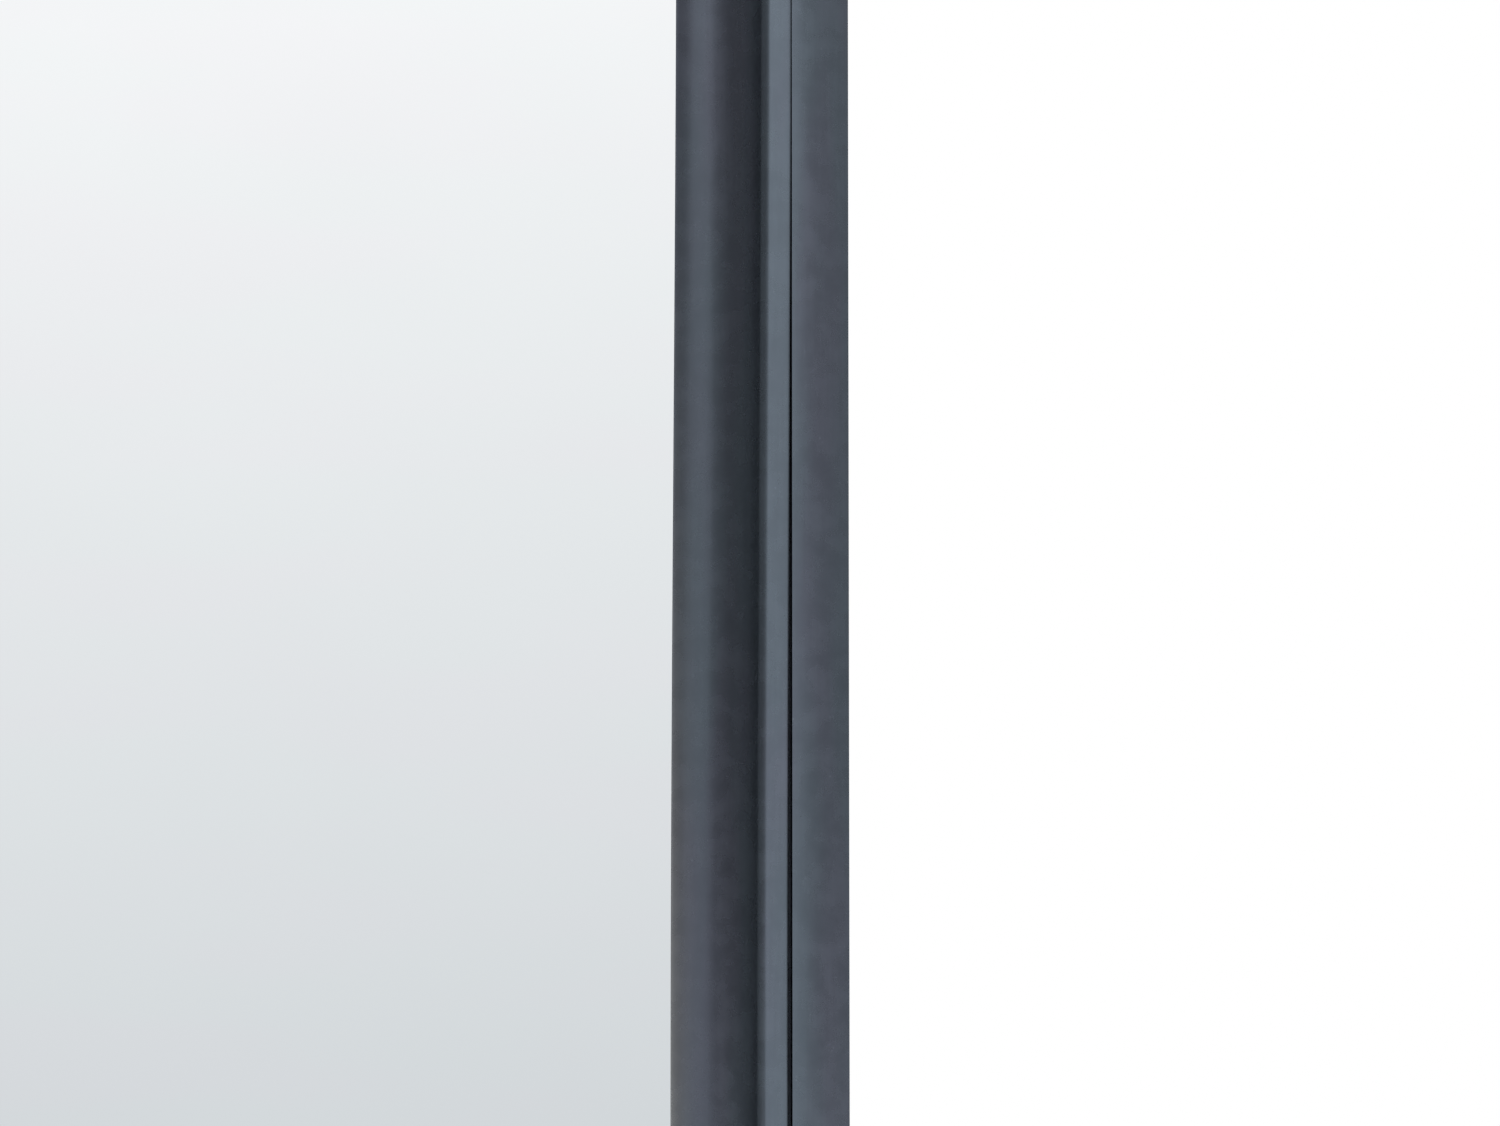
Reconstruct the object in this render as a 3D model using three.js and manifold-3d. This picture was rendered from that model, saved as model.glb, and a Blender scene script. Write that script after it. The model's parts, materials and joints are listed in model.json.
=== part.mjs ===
// Pull-out closet mirror, in millimetres, shown pushed home in its closet with the leaf shut.
//
// +X is the way it pulls out, the mirror faces -Y and +Z is up. The closet's side panel is the plane
// y = 0, and the origin is the middle of the lower slide's mounting face.
//
// Two full-extension ball-bearing slides carry a slim full-height post on two flat brackets. A
// framed mirror leaf hangs on the post by a pivot at its top and one at its foot, and swings
// forward off the post. A magnet on each slide bracket holds the leaf shut.
import * as THREE from "three";
import { mergeVertices } from "three/addons/utils/BufferGeometryUtils.js";
import Module from "manifold-3d";

// Overall
const overallDepth = 356;
const leafHeight = 1200;
const slideSpacing = 600;
const swingGap = 0.8;
const postWidth = 11.7;

// Frame section: u runs outward from the sight edge and w runs back from the front
const faceWidth = 24;
const coveRadius = 13.4;
const coveLowInset = 5.6;
const coveFlankAngle = 66;
const edgeRadius = 2.5;
const crownRadius = 38;
const lipThickness = 1.2;
const frameWall = 1.6;
const grooveDepth = 6.4;
const rearFlange = 1.4;
const rearStep = 2;
const arris = 0.3;
const mitreGap = 0.15;

// What the frame holds
const glassThickness = 4;
const boardThickness = 3;
const sealThickness = 1;
const glazingGap = 0.3;
const paneInset = 1.2;
const sealWidth = 4.4;
const cleatArm = 70;
const cleatFit = 0.3;

// Slides
const slideInset = 3;
const slideHeight = 45.5;
const slideSheet = 1.2;
const slideBend = 1.4;
const ballRadius = 2;
const raceClearance = 0.3;
const raceStagger = 3.4;
const raceMargin = 3.3;
const raceAngle = 30;
const cageSheet = 0.6;
const cageGap = 0.35;
const cageBend = 0.8;
const cageLength = 140;
const ballsInRow = 5;
const ballEndMargin = 9;
const bumperLength = 4;
const bumperHeight = 22;
const bumperThickness = 7;
const bumperRound = 1.5;
const panelHoleRadius = 2.3;
const panelHoleShares = [-0.84, -0.46, 0.46, 0.84];
const accessHoleRadius = 5;
const accessHoleShares = [-0.64, -0.24, 0.24, 0.64];

// Slide brackets and tie rail
const bracketThickness = 2;
const bracketHeight = 36;
const bracketInset = 1;
const bracketCorner = 4;
const headLength = 30;
const headHeight = 78;
const postScrewRise = 31;
const slideScrewShares = [-0.74, 0.74];
const tabLength = 44;
const tabReach = 62;
const tabInset = 48;
const railWidth = 36;
const railDepth = 8;
const railSheet = 1.5;
const railBend = 1.8;
const railGap = 1.5;
const tieScrewSpacing = 20;
const tieScrewRise = 45;

// Post
const postWall = 1.8;
const portWebThickness = 6.4;
const stopReach = 5;
const stopGap = 0.6;
const stopThickness = 1.6;

// Pivots
const axisProud = 1.2;
const earRadius = 6.5;
const plateThickness = 3;
const bracketEar = 3.5;
const earGap = 0.3;
const earRelief = 0.6;
const plateLength = 74;
const plateWidth = 14;
const plateCorner = 3;
const lugRoot = 20;
const lugShoulder = 9;
const pinRadius = 2.5;
const pinHeadRadius = 4.2;
const pinHeadHeight = 1.5;
const pinFit = 0.3;
const bushWall = 1.2;
const bushFlange = 0.6;
const bushFlangeWidth = 0.8;
const spigotDepth = 8;
const plateScrewPlaces = [34, 58];

// Catches
const magnetRadius = 7;
const magnetThickness = 2;
const strikeRadius = 8;
const strikeThickness = 1;
const catchGap = 0.3;

// Fasteners and fits
const screwRadius = 1.8;
const screwHeadRadius = 3.6;
const screwHeadHeight = 1.5;
const screwHeadShares = [[1, 0], [1, 0.45], [0.7, 1]];
const shortScrew = 5;
const longScrew = 12;
const strikeScrew = 4;
const flushHeadHeight = 1.4;
const strikeHeadRadius = 3;
const strikeHeadHeight = 0.7;
const holeClearance = 0.3;
const seatGap = 0.1;
const overrun = 1;
const weldDistance = 0.001;

// Facets
const coveSteps = 7;
const raceSteps = 3;
const roundSteps = 12;
const turnedSides = 10;
const ballSides = 6;
const ballRings = 4;

// Worked out from the sizes above
const degrees = Math.PI / 180;
const flank = coveFlankAngle * degrees;
const peakInset = coveLowInset + (coveRadius + edgeRadius) * Math.sin(flank);
const coveCentre = edgeRadius - (coveRadius + edgeRadius) * Math.cos(flank);
const grooveFront = coveCentre + coveRadius + lipThickness;
const glassFront = grooveFront + glazingGap;
const glassBack = glassFront + glassThickness;
const boardFront = glassBack + glazingGap;
const boardBack = boardFront + boardThickness;
const sealFront = boardBack + glazingGap;
const sealBack = sealFront + sealThickness;
const grooveBack = sealBack + glazingGap;
const flangeBack = grooveBack + rearFlange;
const leafDepth = flangeBack + rearStep;
const leafWidth = overallDepth - postWidth - swingGap;
const halfWidth = leafWidth / 2;
const halfHeight = leafHeight / 2;
const crownPeak = halfWidth - faceWidth + peakInset;
const axisX = halfWidth + swingGap / 2;
const postLeft = halfWidth + swingGap;
const postRight = postLeft + postWidth;
const catchSpace = magnetThickness + catchGap + strikeThickness + 2 * seatGap;
const postBack = leafDepth + catchSpace - seatGap;

const slideLength = overallDepth - 2 * slideInset;
const raceLine = ballRadius + raceClearance + slideSheet / 2;
const outerWeb = -slideSheet / 2;
const outerCageWeb = -(slideSheet + cageGap + cageSheet / 2);
const middleWeb = outerCageWeb - cageSheet / 2 - cageGap - slideSheet / 2;
const innerCageWeb = middleWeb - slideSheet / 2 - cageGap - cageSheet / 2;
const innerBallY = middleWeb - raceLine;
const outerBallY = innerBallY - raceStagger;
const slideThickness = raceMargin - outerBallY;
const innerWeb = slideSheet / 2 - slideThickness;
const outerBallZ = slideHeight / 2 - slideSheet / 2 - raceLine;
const innerBallZ = outerBallZ - Math.sqrt((2 * raceLine) ** 2 - raceStagger ** 2);
const movingLength = slideLength - bumperLength - cageGap;

const bracketFace = slideThickness + seatGap;
const frontY = -(bracketFace + bracketThickness + catchSpace + leafDepth);
const leafCentreX = -overallDepth / 2 + halfWidth;
const leafCentreZ = slideSpacing / 2;
const catchX = -overallDepth / 2 + (faceWidth - grooveDepth) / 2;

// Finishes
const slate = new THREE.MeshStandardMaterial({ color: 0x59606b, roughness: 0.38, metalness: 0.75 });
const silvered = new THREE.MeshStandardMaterial({ color: 0xe8ecee, roughness: 0.02, metalness: 1 });
const board = new THREE.MeshStandardMaterial({ color: 0x2c2b2a, roughness: 0.8, metalness: 0 });
const rubber = new THREE.MeshStandardMaterial({ color: 0x1b1b1c, roughness: 0.85, metalness: 0 });
const zinc = new THREE.MeshStandardMaterial({ color: 0xb9bcc0, roughness: 0.35, metalness: 0.9 });
const castZinc = new THREE.MeshStandardMaterial({ color: 0x9a9c9f, roughness: 0.5, metalness: 0.8 });
const darkSteel = new THREE.MeshStandardMaterial({ color: 0x3b3f46, roughness: 0.45, metalness: 0.7 });
const nylon = new THREE.MeshStandardMaterial({ color: 0x24262a, roughness: 0.6, metalness: 0 });
const polished = new THREE.MeshStandardMaterial({ color: 0xcfd2d5, roughness: 0.18, metalness: 1 });

const wasm = await Module();
wasm.setup();

// A closed geometry as a solid that can be joined and cut.
function toSolid(geometry) {
  const bare = geometry.clone();
  bare.deleteAttribute("normal");
  bare.deleteAttribute("uv");
  const merged = mergeVertices(bare, weldDistance);
  return new wasm.Manifold(
    new wasm.Mesh({
      numProp: 3,
      vertProperties: merged.attributes.position.array,
      triVerts: new Uint32Array(merged.index.array),
    }),
  );
}

// A solid as a geometry again.
function toGeometry(solid) {
  const { vertProperties, triVerts } = solid.getMesh();
  const geometry = new THREE.BufferGeometry();
  geometry.setAttribute("position", new THREE.BufferAttribute(vertProperties, 3));
  geometry.setIndex(new THREE.BufferAttribute(triVerts, 1));
  geometry.computeVertexNormals();
  return geometry;
}

function join(geometry, ...others) {
  return toGeometry(others.reduce((solid, other) => solid.add(toSolid(other)), toSolid(geometry)));
}

function cut(geometry, ...tools) {
  return toGeometry(tools.reduce((solid, tool) => solid.subtract(toSolid(tool)), toSolid(geometry)));
}

// A round cutter whose middle is at a place, along "x", "y" or "z".
function borer(radius, length, place, axis) {
  const tool = new THREE.CylinderGeometry(radius, radius, length, roundSteps);
  if (axis === "x") tool.rotateZ(Math.PI / 2);
  if (axis === "z") tool.rotateX(Math.PI / 2);
  return tool.translate(...place);
}

function extrude(shape, depth) {
  return new THREE.ExtrudeGeometry(shape, { depth, bevelEnabled: false, curveSegments: raceSteps });
}

// A section drawn as (y, z), run along X and centred on it.
function runAlongX(shape, length) {
  const turn = new THREE.Matrix4().makeBasis(
    new THREE.Vector3(0, 1, 0),
    new THREE.Vector3(0, 0, 1),
    new THREE.Vector3(1, 0, 0),
  );
  return extrude(shape, length).translate(0, 0, -length / 2).applyMatrix4(turn);
}

// A plate drawn as (x, z), whose back lies at y = 0 and whose front at -thickness.
function plate(shape, thickness) {
  return extrude(shape, thickness).rotateX(Math.PI / 2);
}

// An outline whose corners are rounded, drawn anticlockwise.
function roundedOutline(corners, radius) {
  const points = corners.map(([x, y]) => new THREE.Vector2(x, y));
  if (THREE.ShapeUtils.isClockWise(points)) points.reverse();
  const shape = new THREE.Shape();
  points.forEach((corner, i) => {
    const towards = (other) => other.clone().sub(corner).setLength(radius).add(corner);
    const from = towards(points[(i + points.length - 1) % points.length]);
    const to = towards(points[(i + 1) % points.length]);
    if (i) shape.lineTo(from.x, from.y);
    else shape.moveTo(from.x, from.y);
    shape.quadraticCurveTo(corner.x, corner.y, to.x, to.y);
  });
  shape.closePath();
  return shape;
}

function roundHole(shape, x, y, radius) {
  const hole = new THREE.Path();
  hole.absarc(x, y, radius, 0, 2 * Math.PI, true);
  shape.holes.push(hole);
}

// The outline of sheet metal formed along a centre line, alike above and below its first point.
function formedSheet(path, thickness) {
  const upper = path
    .getPoints(raceSteps)
    .filter((point, i, all) => !i || point.distanceTo(all[i - 1]) > weldDistance);
  const lower = upper.slice(1).reverse().map((point) => new THREE.Vector2(point.x, -point.y));
  const line = [...lower, ...upper];
  const square = (from, to) => new THREE.Vector2(from.y - to.y, to.x - from.x).normalize();
  const offset = (side) =>
    line.map((point, i) => {
      const first = i ? square(line[i - 1], point) : square(point, line[1]);
      const last = i < line.length - 1 ? square(point, line[i + 1]) : first;
      const mean = first.clone().add(last).normalize();
      return point.clone().addScaledVector(mean, (side * thickness) / 2 / mean.dot(first));
    });
  return new THREE.Shape([...offset(1), ...offset(-1).reverse()]);
}

// Height of the crowned front above the leaf's foremost line, at a place across the leaf and post.
function crownDepth(x) {
  return crownRadius - Math.sqrt(crownRadius ** 2 - (x - crownPeak) ** 2);
}

function crownAngle(x) {
  return 1.5 * Math.PI + Math.asin((x - crownPeak) / crownRadius);
}

// Frame section: cove, rounded edge and crowned land in front, glazing groove and chamber behind.
function frameSection() {
  const offsetX = halfWidth - faceWidth;
  const shape = new THREE.Shape();
  const tipAngle = Math.PI / 2 + Math.asin(coveLowInset / coveRadius);
  const flankEnd = Math.PI / 2 - flank;
  shape.moveTo(0, grooveFront);
  shape.lineTo(0, coveCentre + Math.sqrt(coveRadius ** 2 - coveLowInset ** 2));
  shape.absarc(coveLowInset, coveCentre, coveRadius, tipAngle, flankEnd, true);
  shape.absarc(peakInset, edgeRadius, edgeRadius, flankEnd + Math.PI, 1.5 * Math.PI, false);
  const landEnd = crownAngle(halfWidth - arris);
  shape.absarc(peakInset, crownRadius, crownRadius, 1.5 * Math.PI, landEnd, false);
  shape.lineTo(faceWidth, crownDepth(halfWidth) + arris);
  shape.lineTo(faceWidth, leafDepth - arris);
  shape.lineTo(faceWidth - arris, leafDepth);
  shape.lineTo(grooveDepth, leafDepth);
  shape.lineTo(grooveDepth, flangeBack);
  shape.lineTo(0, flangeBack);
  shape.lineTo(0, grooveBack);
  shape.lineTo(grooveDepth, grooveBack);
  shape.lineTo(grooveDepth, grooveFront);
  shape.closePath();

  const chamber = new THREE.Path();
  const chamberIn = grooveDepth + frameWall;
  const chamberOut = faceWidth - frameWall;
  const chamberArc = coveRadius + frameWall;
  const chamberStart = Math.acos((chamberIn - coveLowInset) / chamberArc);
  const chamberEnd = flankEnd + Math.asin(frameWall / 2 / chamberArc);
  chamber.moveTo(chamberIn, leafDepth - frameWall);
  chamber.lineTo(chamberIn, coveCentre + chamberArc * Math.sin(chamberStart));
  chamber.absarc(coveLowInset, coveCentre, chamberArc, chamberStart, chamberEnd, true);
  chamber.lineTo(peakInset, frameWall);
  chamber.lineTo(chamberOut, frameWall + crownDepth(offsetX + chamberOut));
  chamber.lineTo(chamberOut, leafDepth - frameWall);
  chamber.closePath();
  shape.holes.push(chamber);
  return shape;
}

// One mitred side of the frame, upright, with its outer side toward +X.
function frameBar(halfAcross, halfLength) {
  const bar = new THREE.ExtrudeGeometry(frameSection(), {
    depth: 1,
    bevelEnabled: false,
    curveSegments: coveSteps,
  });
  const position = bar.attributes.position;
  for (let i = 0; i < position.count; i += 1) {
    const u = position.getX(i);
    const side = position.getZ(i) > 0 ? 1 : -1;
    position.setX(i, halfAcross - faceWidth + u);
    position.setZ(i, side * (halfLength - faceWidth + u - mitreGap));
  }
  return bar;
}

// A top or bottom rail with the two screw holes of its pivot plate; side is 1 at the top.
function pivotRail(side) {
  const wallMiddle = halfHeight - frameWall / 2;
  const holes = plateScrewPlaces.map((place) =>
    borer(
      screwRadius + holeClearance,
      frameWall + 2 * overrun,
      [wallMiddle, plateMiddle, -side * (halfWidth - place)],
      "x",
    ),
  );
  return cut(frameBar(halfHeight, halfWidth), ...holes);
}

// Corner cleat, cast as an L that fills the chambers of both bars, for the corner at (x, z) signs.
function cornerCleat(sideX, sideZ) {
  const near = frameWall + cleatFit;
  const far = faceWidth - grooveDepth - frameWall - cleatFit;
  const outline = [
    [near, near],
    [cleatArm, near],
    [cleatArm, far],
    [far, far],
    [far, cleatArm],
    [near, cleatArm],
  ].map(([x, z]) => new THREE.Vector2(sideX * (halfWidth - x), sideZ * (halfHeight - z)));
  const thickness = leafDepth - frameWall - cleatFit - cleatFront;
  const body = plate(new THREE.Shape(outline), thickness).translate(0, cleatFront + thickness, 0);
  const holes = plateScrewPlaces.map((place) =>
    borer(
      screwRadius + holeClearance,
      longScrew * 2,
      [sideX * (halfWidth - place), plateMiddle, sideZ * halfHeight],
      "z",
    ),
  );
  return cut(body, ...holes);
}
const cleatInset = grooveDepth + frameWall + cleatFit - coveLowInset;
const cleatFront = coveCentre + Math.sqrt((coveRadius + frameWall) ** 2 - cleatInset ** 2) + cleatFit;
const plateMiddle = leafDepth / 2;

// A pane that stands in the grooves all round.
function pane(thickness, front) {
  const reach = faceWidth - grooveDepth + paneInset;
  const across = leafWidth - 2 * reach;
  const up = leafHeight - 2 * reach;
  return new THREE.BoxGeometry(across, thickness, up).translate(0, front + thickness / 2, 0);
}

// The rubber strip behind the backing board.
function sealRing() {
  const outerX = halfWidth - faceWidth + grooveDepth - paneInset;
  const outerZ = halfHeight - faceWidth + grooveDepth - paneInset;
  const corners = (x, z) => [[x, z], [-x, z], [-x, -z], [x, -z]];
  const ring = new THREE.Shape(corners(outerX, outerZ).map(([x, z]) => new THREE.Vector2(x, z)));
  const inner = corners(outerX - sealWidth, outerZ - sealWidth).map(([x, z]) => new THREE.Vector2(x, z));
  ring.holes.push(new THREE.Path(inner.reverse()));
  return plate(ring, sealThickness).translate(0, sealBack, 0);
}

// A plan outline that runs from a straight root to a round ear about the pivot axis.
function lugOutline(rootLeft, rootRight, rootW) {
  const shape = new THREE.Shape();
  shape.moveTo(rootLeft, rootW);
  shape.lineTo(axisX - earRadius, -axisProud);
  shape.absarc(axisX, -axisProud, earRadius, Math.PI, 2 * Math.PI, false);
  shape.lineTo(rootRight, rootW);
  shape.closePath();
  return shape;
}

// A plan outline, extruded outward from a distance beyond the leaf's end; side is 1 at the top.
function endPlate(shape, from, thickness, side) {
  const start = side > 0 ? halfHeight + from : -(halfHeight + from + thickness);
  return extrude(shape, thickness).translate(0, 0, start);
}

// The leaf's pivot plate on the end of its rail, with the ear that holds the bushing.
function pivotPlate(side) {
  const right = halfWidth - arris;
  const front = plateMiddle - plateWidth / 2;
  const back = plateMiddle + plateWidth / 2;
  const strip = roundedOutline(
    [[right, front], [right, back], [right - plateLength, back], [right - plateLength, front]],
    plateCorner,
  );
  const lug = lugOutline(right - lugRoot, right - plateCorner / 2, front + plateCorner);
  const middle = side * (halfHeight + seatGap + plateThickness / 2);
  const ear = [axisX, -axisProud, middle];
  const bushHole = borer(bushRadius + pinFit, plateThickness + 2 * overrun, ear, "z");
  const screwHoles = plateScrewPlaces.map((place) => [
    borer(
      screwRadius + holeClearance,
      plateThickness + 2 * overrun,
      [halfWidth - place, plateMiddle, middle],
      "z",
    ),
    borer(
      screwHeadRadius + holeClearance,
      2 * flushHeadHeight,
      [halfWidth - place, plateMiddle, side * (halfHeight + seatGap + plateThickness)],
      "z",
    ),
  ]);
  const body = join(
    endPlate(strip, seatGap, plateThickness, side),
    endPlate(lug, seatGap, plateThickness, side),
  );
  return cut(body, bushHole, ...screwHoles.flat());
}
const bushRadius = pinRadius + pinFit + bushWall;

// Post outline in plan, with its front on the same crown as the leaf's face. The post itself has a
// stop lip behind the leaf's edge, which its end brackets lack.
function postOutline(lip = []) {
  const shape = new THREE.Shape();
  shape.moveTo(postLeft, postBack - arris);
  for (const corner of lip) shape.lineTo(...corner);
  shape.lineTo(postLeft, crownDepth(postLeft) + arris);
  const start = crownAngle(postLeft + arris);
  shape.absarc(crownPeak, crownRadius, crownRadius, start, crownAngle(postRight - arris), false);
  shape.lineTo(postRight, crownDepth(postRight) + arris);
  shape.lineTo(postRight, postBack - arris);
  shape.lineTo(postRight - arris, postBack);
  shape.lineTo(postLeft + arris, postBack);
  shape.closePath();
  return shape;
}

// A hollow of the post between two depths, with the play that a spigot needs.
function postHollow(front, back, play) {
  const left = postLeft + postWall + play;
  const right = postRight - postWall - play;
  return [[left, front + play], [right, front + play], [right, back - play], [left, back - play]];
}
const portMiddle = (crownDepth(postRight) + postBack) / 2;
const portFront = portMiddle - portWebThickness / 2;
const portRear = portMiddle + portWebThickness / 2;
const postMiddle = (postLeft + postRight) / 2;
const portPlace = [postMiddle, portMiddle];

const stopFront = leafDepth + stopGap;
const stopBack = stopFront + stopThickness;
const stopLip = [
  [postLeft, stopBack],
  [postLeft - stopReach, stopBack],
  [postLeft - stopReach, stopFront],
  [postLeft, stopFront],
];

// The post: a hollow section with a screw port down its middle web and a stop lip at its left.
function carrierPost() {
  const section = postOutline(stopLip);
  const points = (corners) => corners.map(([x, y]) => new THREE.Vector2(x, y));
  const front = postHollow(crownDepth(postRight) + postWall, portFront, 0);
  const rear = postHollow(portRear, postBack - postWall, 0);
  section.holes.push(new THREE.Path(points(front)), new THREE.Path(points(rear)));
  roundHole(section, ...portPlace, screwRadius + holeClearance);
  const bar = extrude(section, leafHeight).translate(0, 0, -halfHeight);
  const wallMiddle = postBack - postWall / 2;
  const holes = [-1, 1].flatMap((slide) =>
    [-1, 1].map((end) =>
      borer(
        screwRadius + holeClearance,
        postWall + 2 * overrun,
        [postMiddle, wallMiddle, (slide * slideSpacing) / 2 + end * postScrewRise],
        "y",
      ),
    ),
  );
  return cut(bar, ...holes);
}

// The post's end bracket: a foot over the post, a spigot in its rear hollow and an ear for the pin.
function pivotBracket(side) {
  const total = earLevel + bracketEar;
  const foot = endPlate(postOutline(), seatGap, total - seatGap, side);
  const ear = endPlate(
    lugOutline(postLeft - lugShoulder / 2, postRight, crownDepth(postRight) + lugShoulder),
    earLevel,
    bracketEar,
    side,
  );
  const rear = roundedOutline(postHollow(portRear, postBack - postWall, pinFit), arris);
  const spigot = endPlate(rear, -spigotDepth, spigotDepth + overrun, side);
  const level = side * (halfHeight + earLevel / 2);
  const relief = borer(earRadius + earRelief, earLevel, [axisX, -axisProud, level], "z");
  const pinHole = borer(
    pinRadius + pinFit,
    bracketEar + 2 * overrun,
    [axisX, -axisProud, side * (halfHeight + earLevel + bracketEar / 2)],
    "z",
  );
  const top = side * (halfHeight + total);
  const screwHole = borer(screwRadius + holeClearance, 2 * total + overrun, [...portPlace, top], "z");
  const counterbore = borer(screwHeadRadius + holeClearance, 2 * screwHeadHeight, [...portPlace, top], "z");
  return cut(join(foot, ear, spigot), relief, pinHole, screwHole, counterbore);
}
const earLevel = seatGap + plateThickness + bushFlange + earGap;

// A turned profile of (radius, height) points, standing along Y.
function turned(points) {
  return new THREE.LatheGeometry(points.map(([r, y]) => new THREE.Vector2(r, y)), turnedSides);
}

// A screw along Y: its head stands on y = 0 and its shank runs to -length.
function panScrew(length) {
  const head = screwHeadShares.map(([across, up]) => [screwHeadRadius * across, screwHeadHeight * up]);
  return turned([[0, -length], [screwRadius, -length], [screwRadius, 0], ...head, [0, screwHeadHeight]]);
}

// A flat-head screw along Y: its head's top is at y = 0.
function flatScrew(length, radius, height) {
  const shank = [[0, -length], [screwRadius, -length], [screwRadius, -height]];
  return turned([...shank, [radius, -height], [radius, 0], [0, 0]]);
}

function pivotPin() {
  const length = bracketEar + earGap + bushFlange + plateThickness;
  return turned([
    [0, -length],
    [pinRadius - arris, -length],
    [pinRadius, -length + arris],
    [pinRadius, seatGap],
    [pinHeadRadius, seatGap],
    [pinHeadRadius, pinHeadHeight - arris],
    [pinHeadRadius - arris, pinHeadHeight],
    [0, pinHeadHeight],
  ]);
}

// The flanged bushing in the leaf's ear, with its flange upward and its underside at y = 0.
function pivotBushing() {
  const bore = pinRadius + pinFit;
  const flange = bushRadius + bushFlangeWidth;
  const profile = [
    [bore, 0],
    [bushRadius, 0],
    [bushRadius, plateThickness + seatGap],
    [flange, plateThickness + seatGap],
    [flange, plateThickness + bushFlange],
    [bore, plateThickness + bushFlange],
  ];
  return turned([...profile, profile[0]]);
}

// The outer member, which is screwed to the closet's side panel.
function outerMember() {
  const angle = raceAngle * degrees;
  const shoulder = outerBallZ + raceLine * Math.sin(angle);
  const line = new THREE.Path();
  line.moveTo(outerWeb, 0);
  line.lineTo(outerWeb, shoulder - slideBend);
  line.absarc(outerWeb - slideBend, shoulder - slideBend, slideBend, 0, Math.PI / 2, false);
  line.absarc(outerBallY, outerBallZ, raceLine, angle, Math.PI - angle, false);
  const body = runAlongX(formedSheet(line, slideSheet), slideLength);
  const holes = panelHoleShares.map((share) => [(share * slideLength) / 2, panelHoleRadius]);
  const access = accessHoleShares.map((share) => [(share * slideLength) / 2, accessHoleRadius]);
  return cut(body, ...[...holes, ...access].map(webHole(outerWeb)));
}

// The middle member runs on both rows of balls.
function middleMember() {
  const angle = raceAngle * degrees;
  const joinAngle = Math.atan2(outerBallZ - innerBallZ, outerBallY - innerBallY);
  const line = new THREE.Path();
  line.moveTo(middleWeb, 0);
  line.lineTo(middleWeb, innerBallZ);
  line.absarc(innerBallY, innerBallZ, raceLine, 0, joinAngle, false);
  line.absarc(outerBallY, outerBallZ, raceLine, joinAngle - Math.PI, angle - Math.PI, true);
  const access = accessHoleShares.map((share) => [(share * movingLength) / 2, accessHoleRadius]);
  const body = runAlongX(formedSheet(line, slideSheet), movingLength);
  return cut(body, ...access.map(webHole(middleWeb)));
}

// The inner member carries the bracket.
function innerMember() {
  const angle = raceAngle * degrees;
  const shoulder = innerBallZ - raceLine * Math.sin(angle);
  const reach = innerCageWeb - cageSheet / 2 - cageGap - innerBallY;
  const raceEnd = 2 * Math.PI - Math.acos(reach / (raceLine + slideSheet / 2));
  const line = new THREE.Path();
  line.moveTo(innerWeb, 0);
  line.lineTo(innerWeb, shoulder - slideBend);
  line.absarc(innerWeb + slideBend, shoulder - slideBend, slideBend, Math.PI, Math.PI / 2, true);
  line.absarc(innerBallY, innerBallZ, raceLine, Math.PI + angle, raceEnd, false);
  const screws = slideScrewShares.map((share) => [
    (share * slideLength) / 2 - movingMiddle,
    screwRadius + holeClearance,
  ]);
  const access = accessHoleShares.map((share) => [(share * movingLength) / 2, accessHoleRadius]);
  const body = runAlongX(formedSheet(line, slideSheet), movingLength);
  return cut(body, ...[...screws, ...access].map(webHole(innerWeb)));
}
const movingMiddle = (slideLength - movingLength) / 2;

// A function that turns [x, radius] into a cutter through a web.
function webHole(web) {
  return ([x, radius]) => borer(radius, slideSheet + 2 * overrun, [x, web, 0], "y");
}

// A ball cage: a thin formed strip that holds a row of balls above and one below.
function ballCage(web, ballY, ballZ) {
  const line = new THREE.Path();
  line.moveTo(web, 0);
  line.lineTo(web, ballZ - cageBend);
  line.absarc(web - cageBend, ballZ - cageBend, cageBend, 0, Math.PI / 2, false);
  line.lineTo(ballY - ballRadius / 2, ballZ);
  const strip = runAlongX(formedSheet(line, cageSheet), cageLength);
  const pitch = (cageLength - 2 * ballEndMargin) / (ballsInRow - 1);
  const balls = [-1, 1].flatMap((side) =>
    Array.from({ length: ballsInRow }, (_, i) =>
      new THREE.SphereGeometry(ballRadius, ballSides, ballRings).translate(
        -cageLength / 2 + ballEndMargin + i * pitch,
        ballY,
        side * ballZ,
      ),
    ),
  );
  return join(strip, ...balls);
}

// The bumper that the moving members come home against.
function rearBumper() {
  const shape = roundedOutline(
    [
      [-slideSheet - seatGap, -bumperHeight / 2],
      [-slideSheet - seatGap, bumperHeight / 2],
      [-slideSheet - seatGap - bumperThickness, bumperHeight / 2],
      [-slideSheet - seatGap - bumperThickness, -bumperHeight / 2],
    ],
    bumperRound,
  );
  return runAlongX(shape, bumperLength);
}

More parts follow.
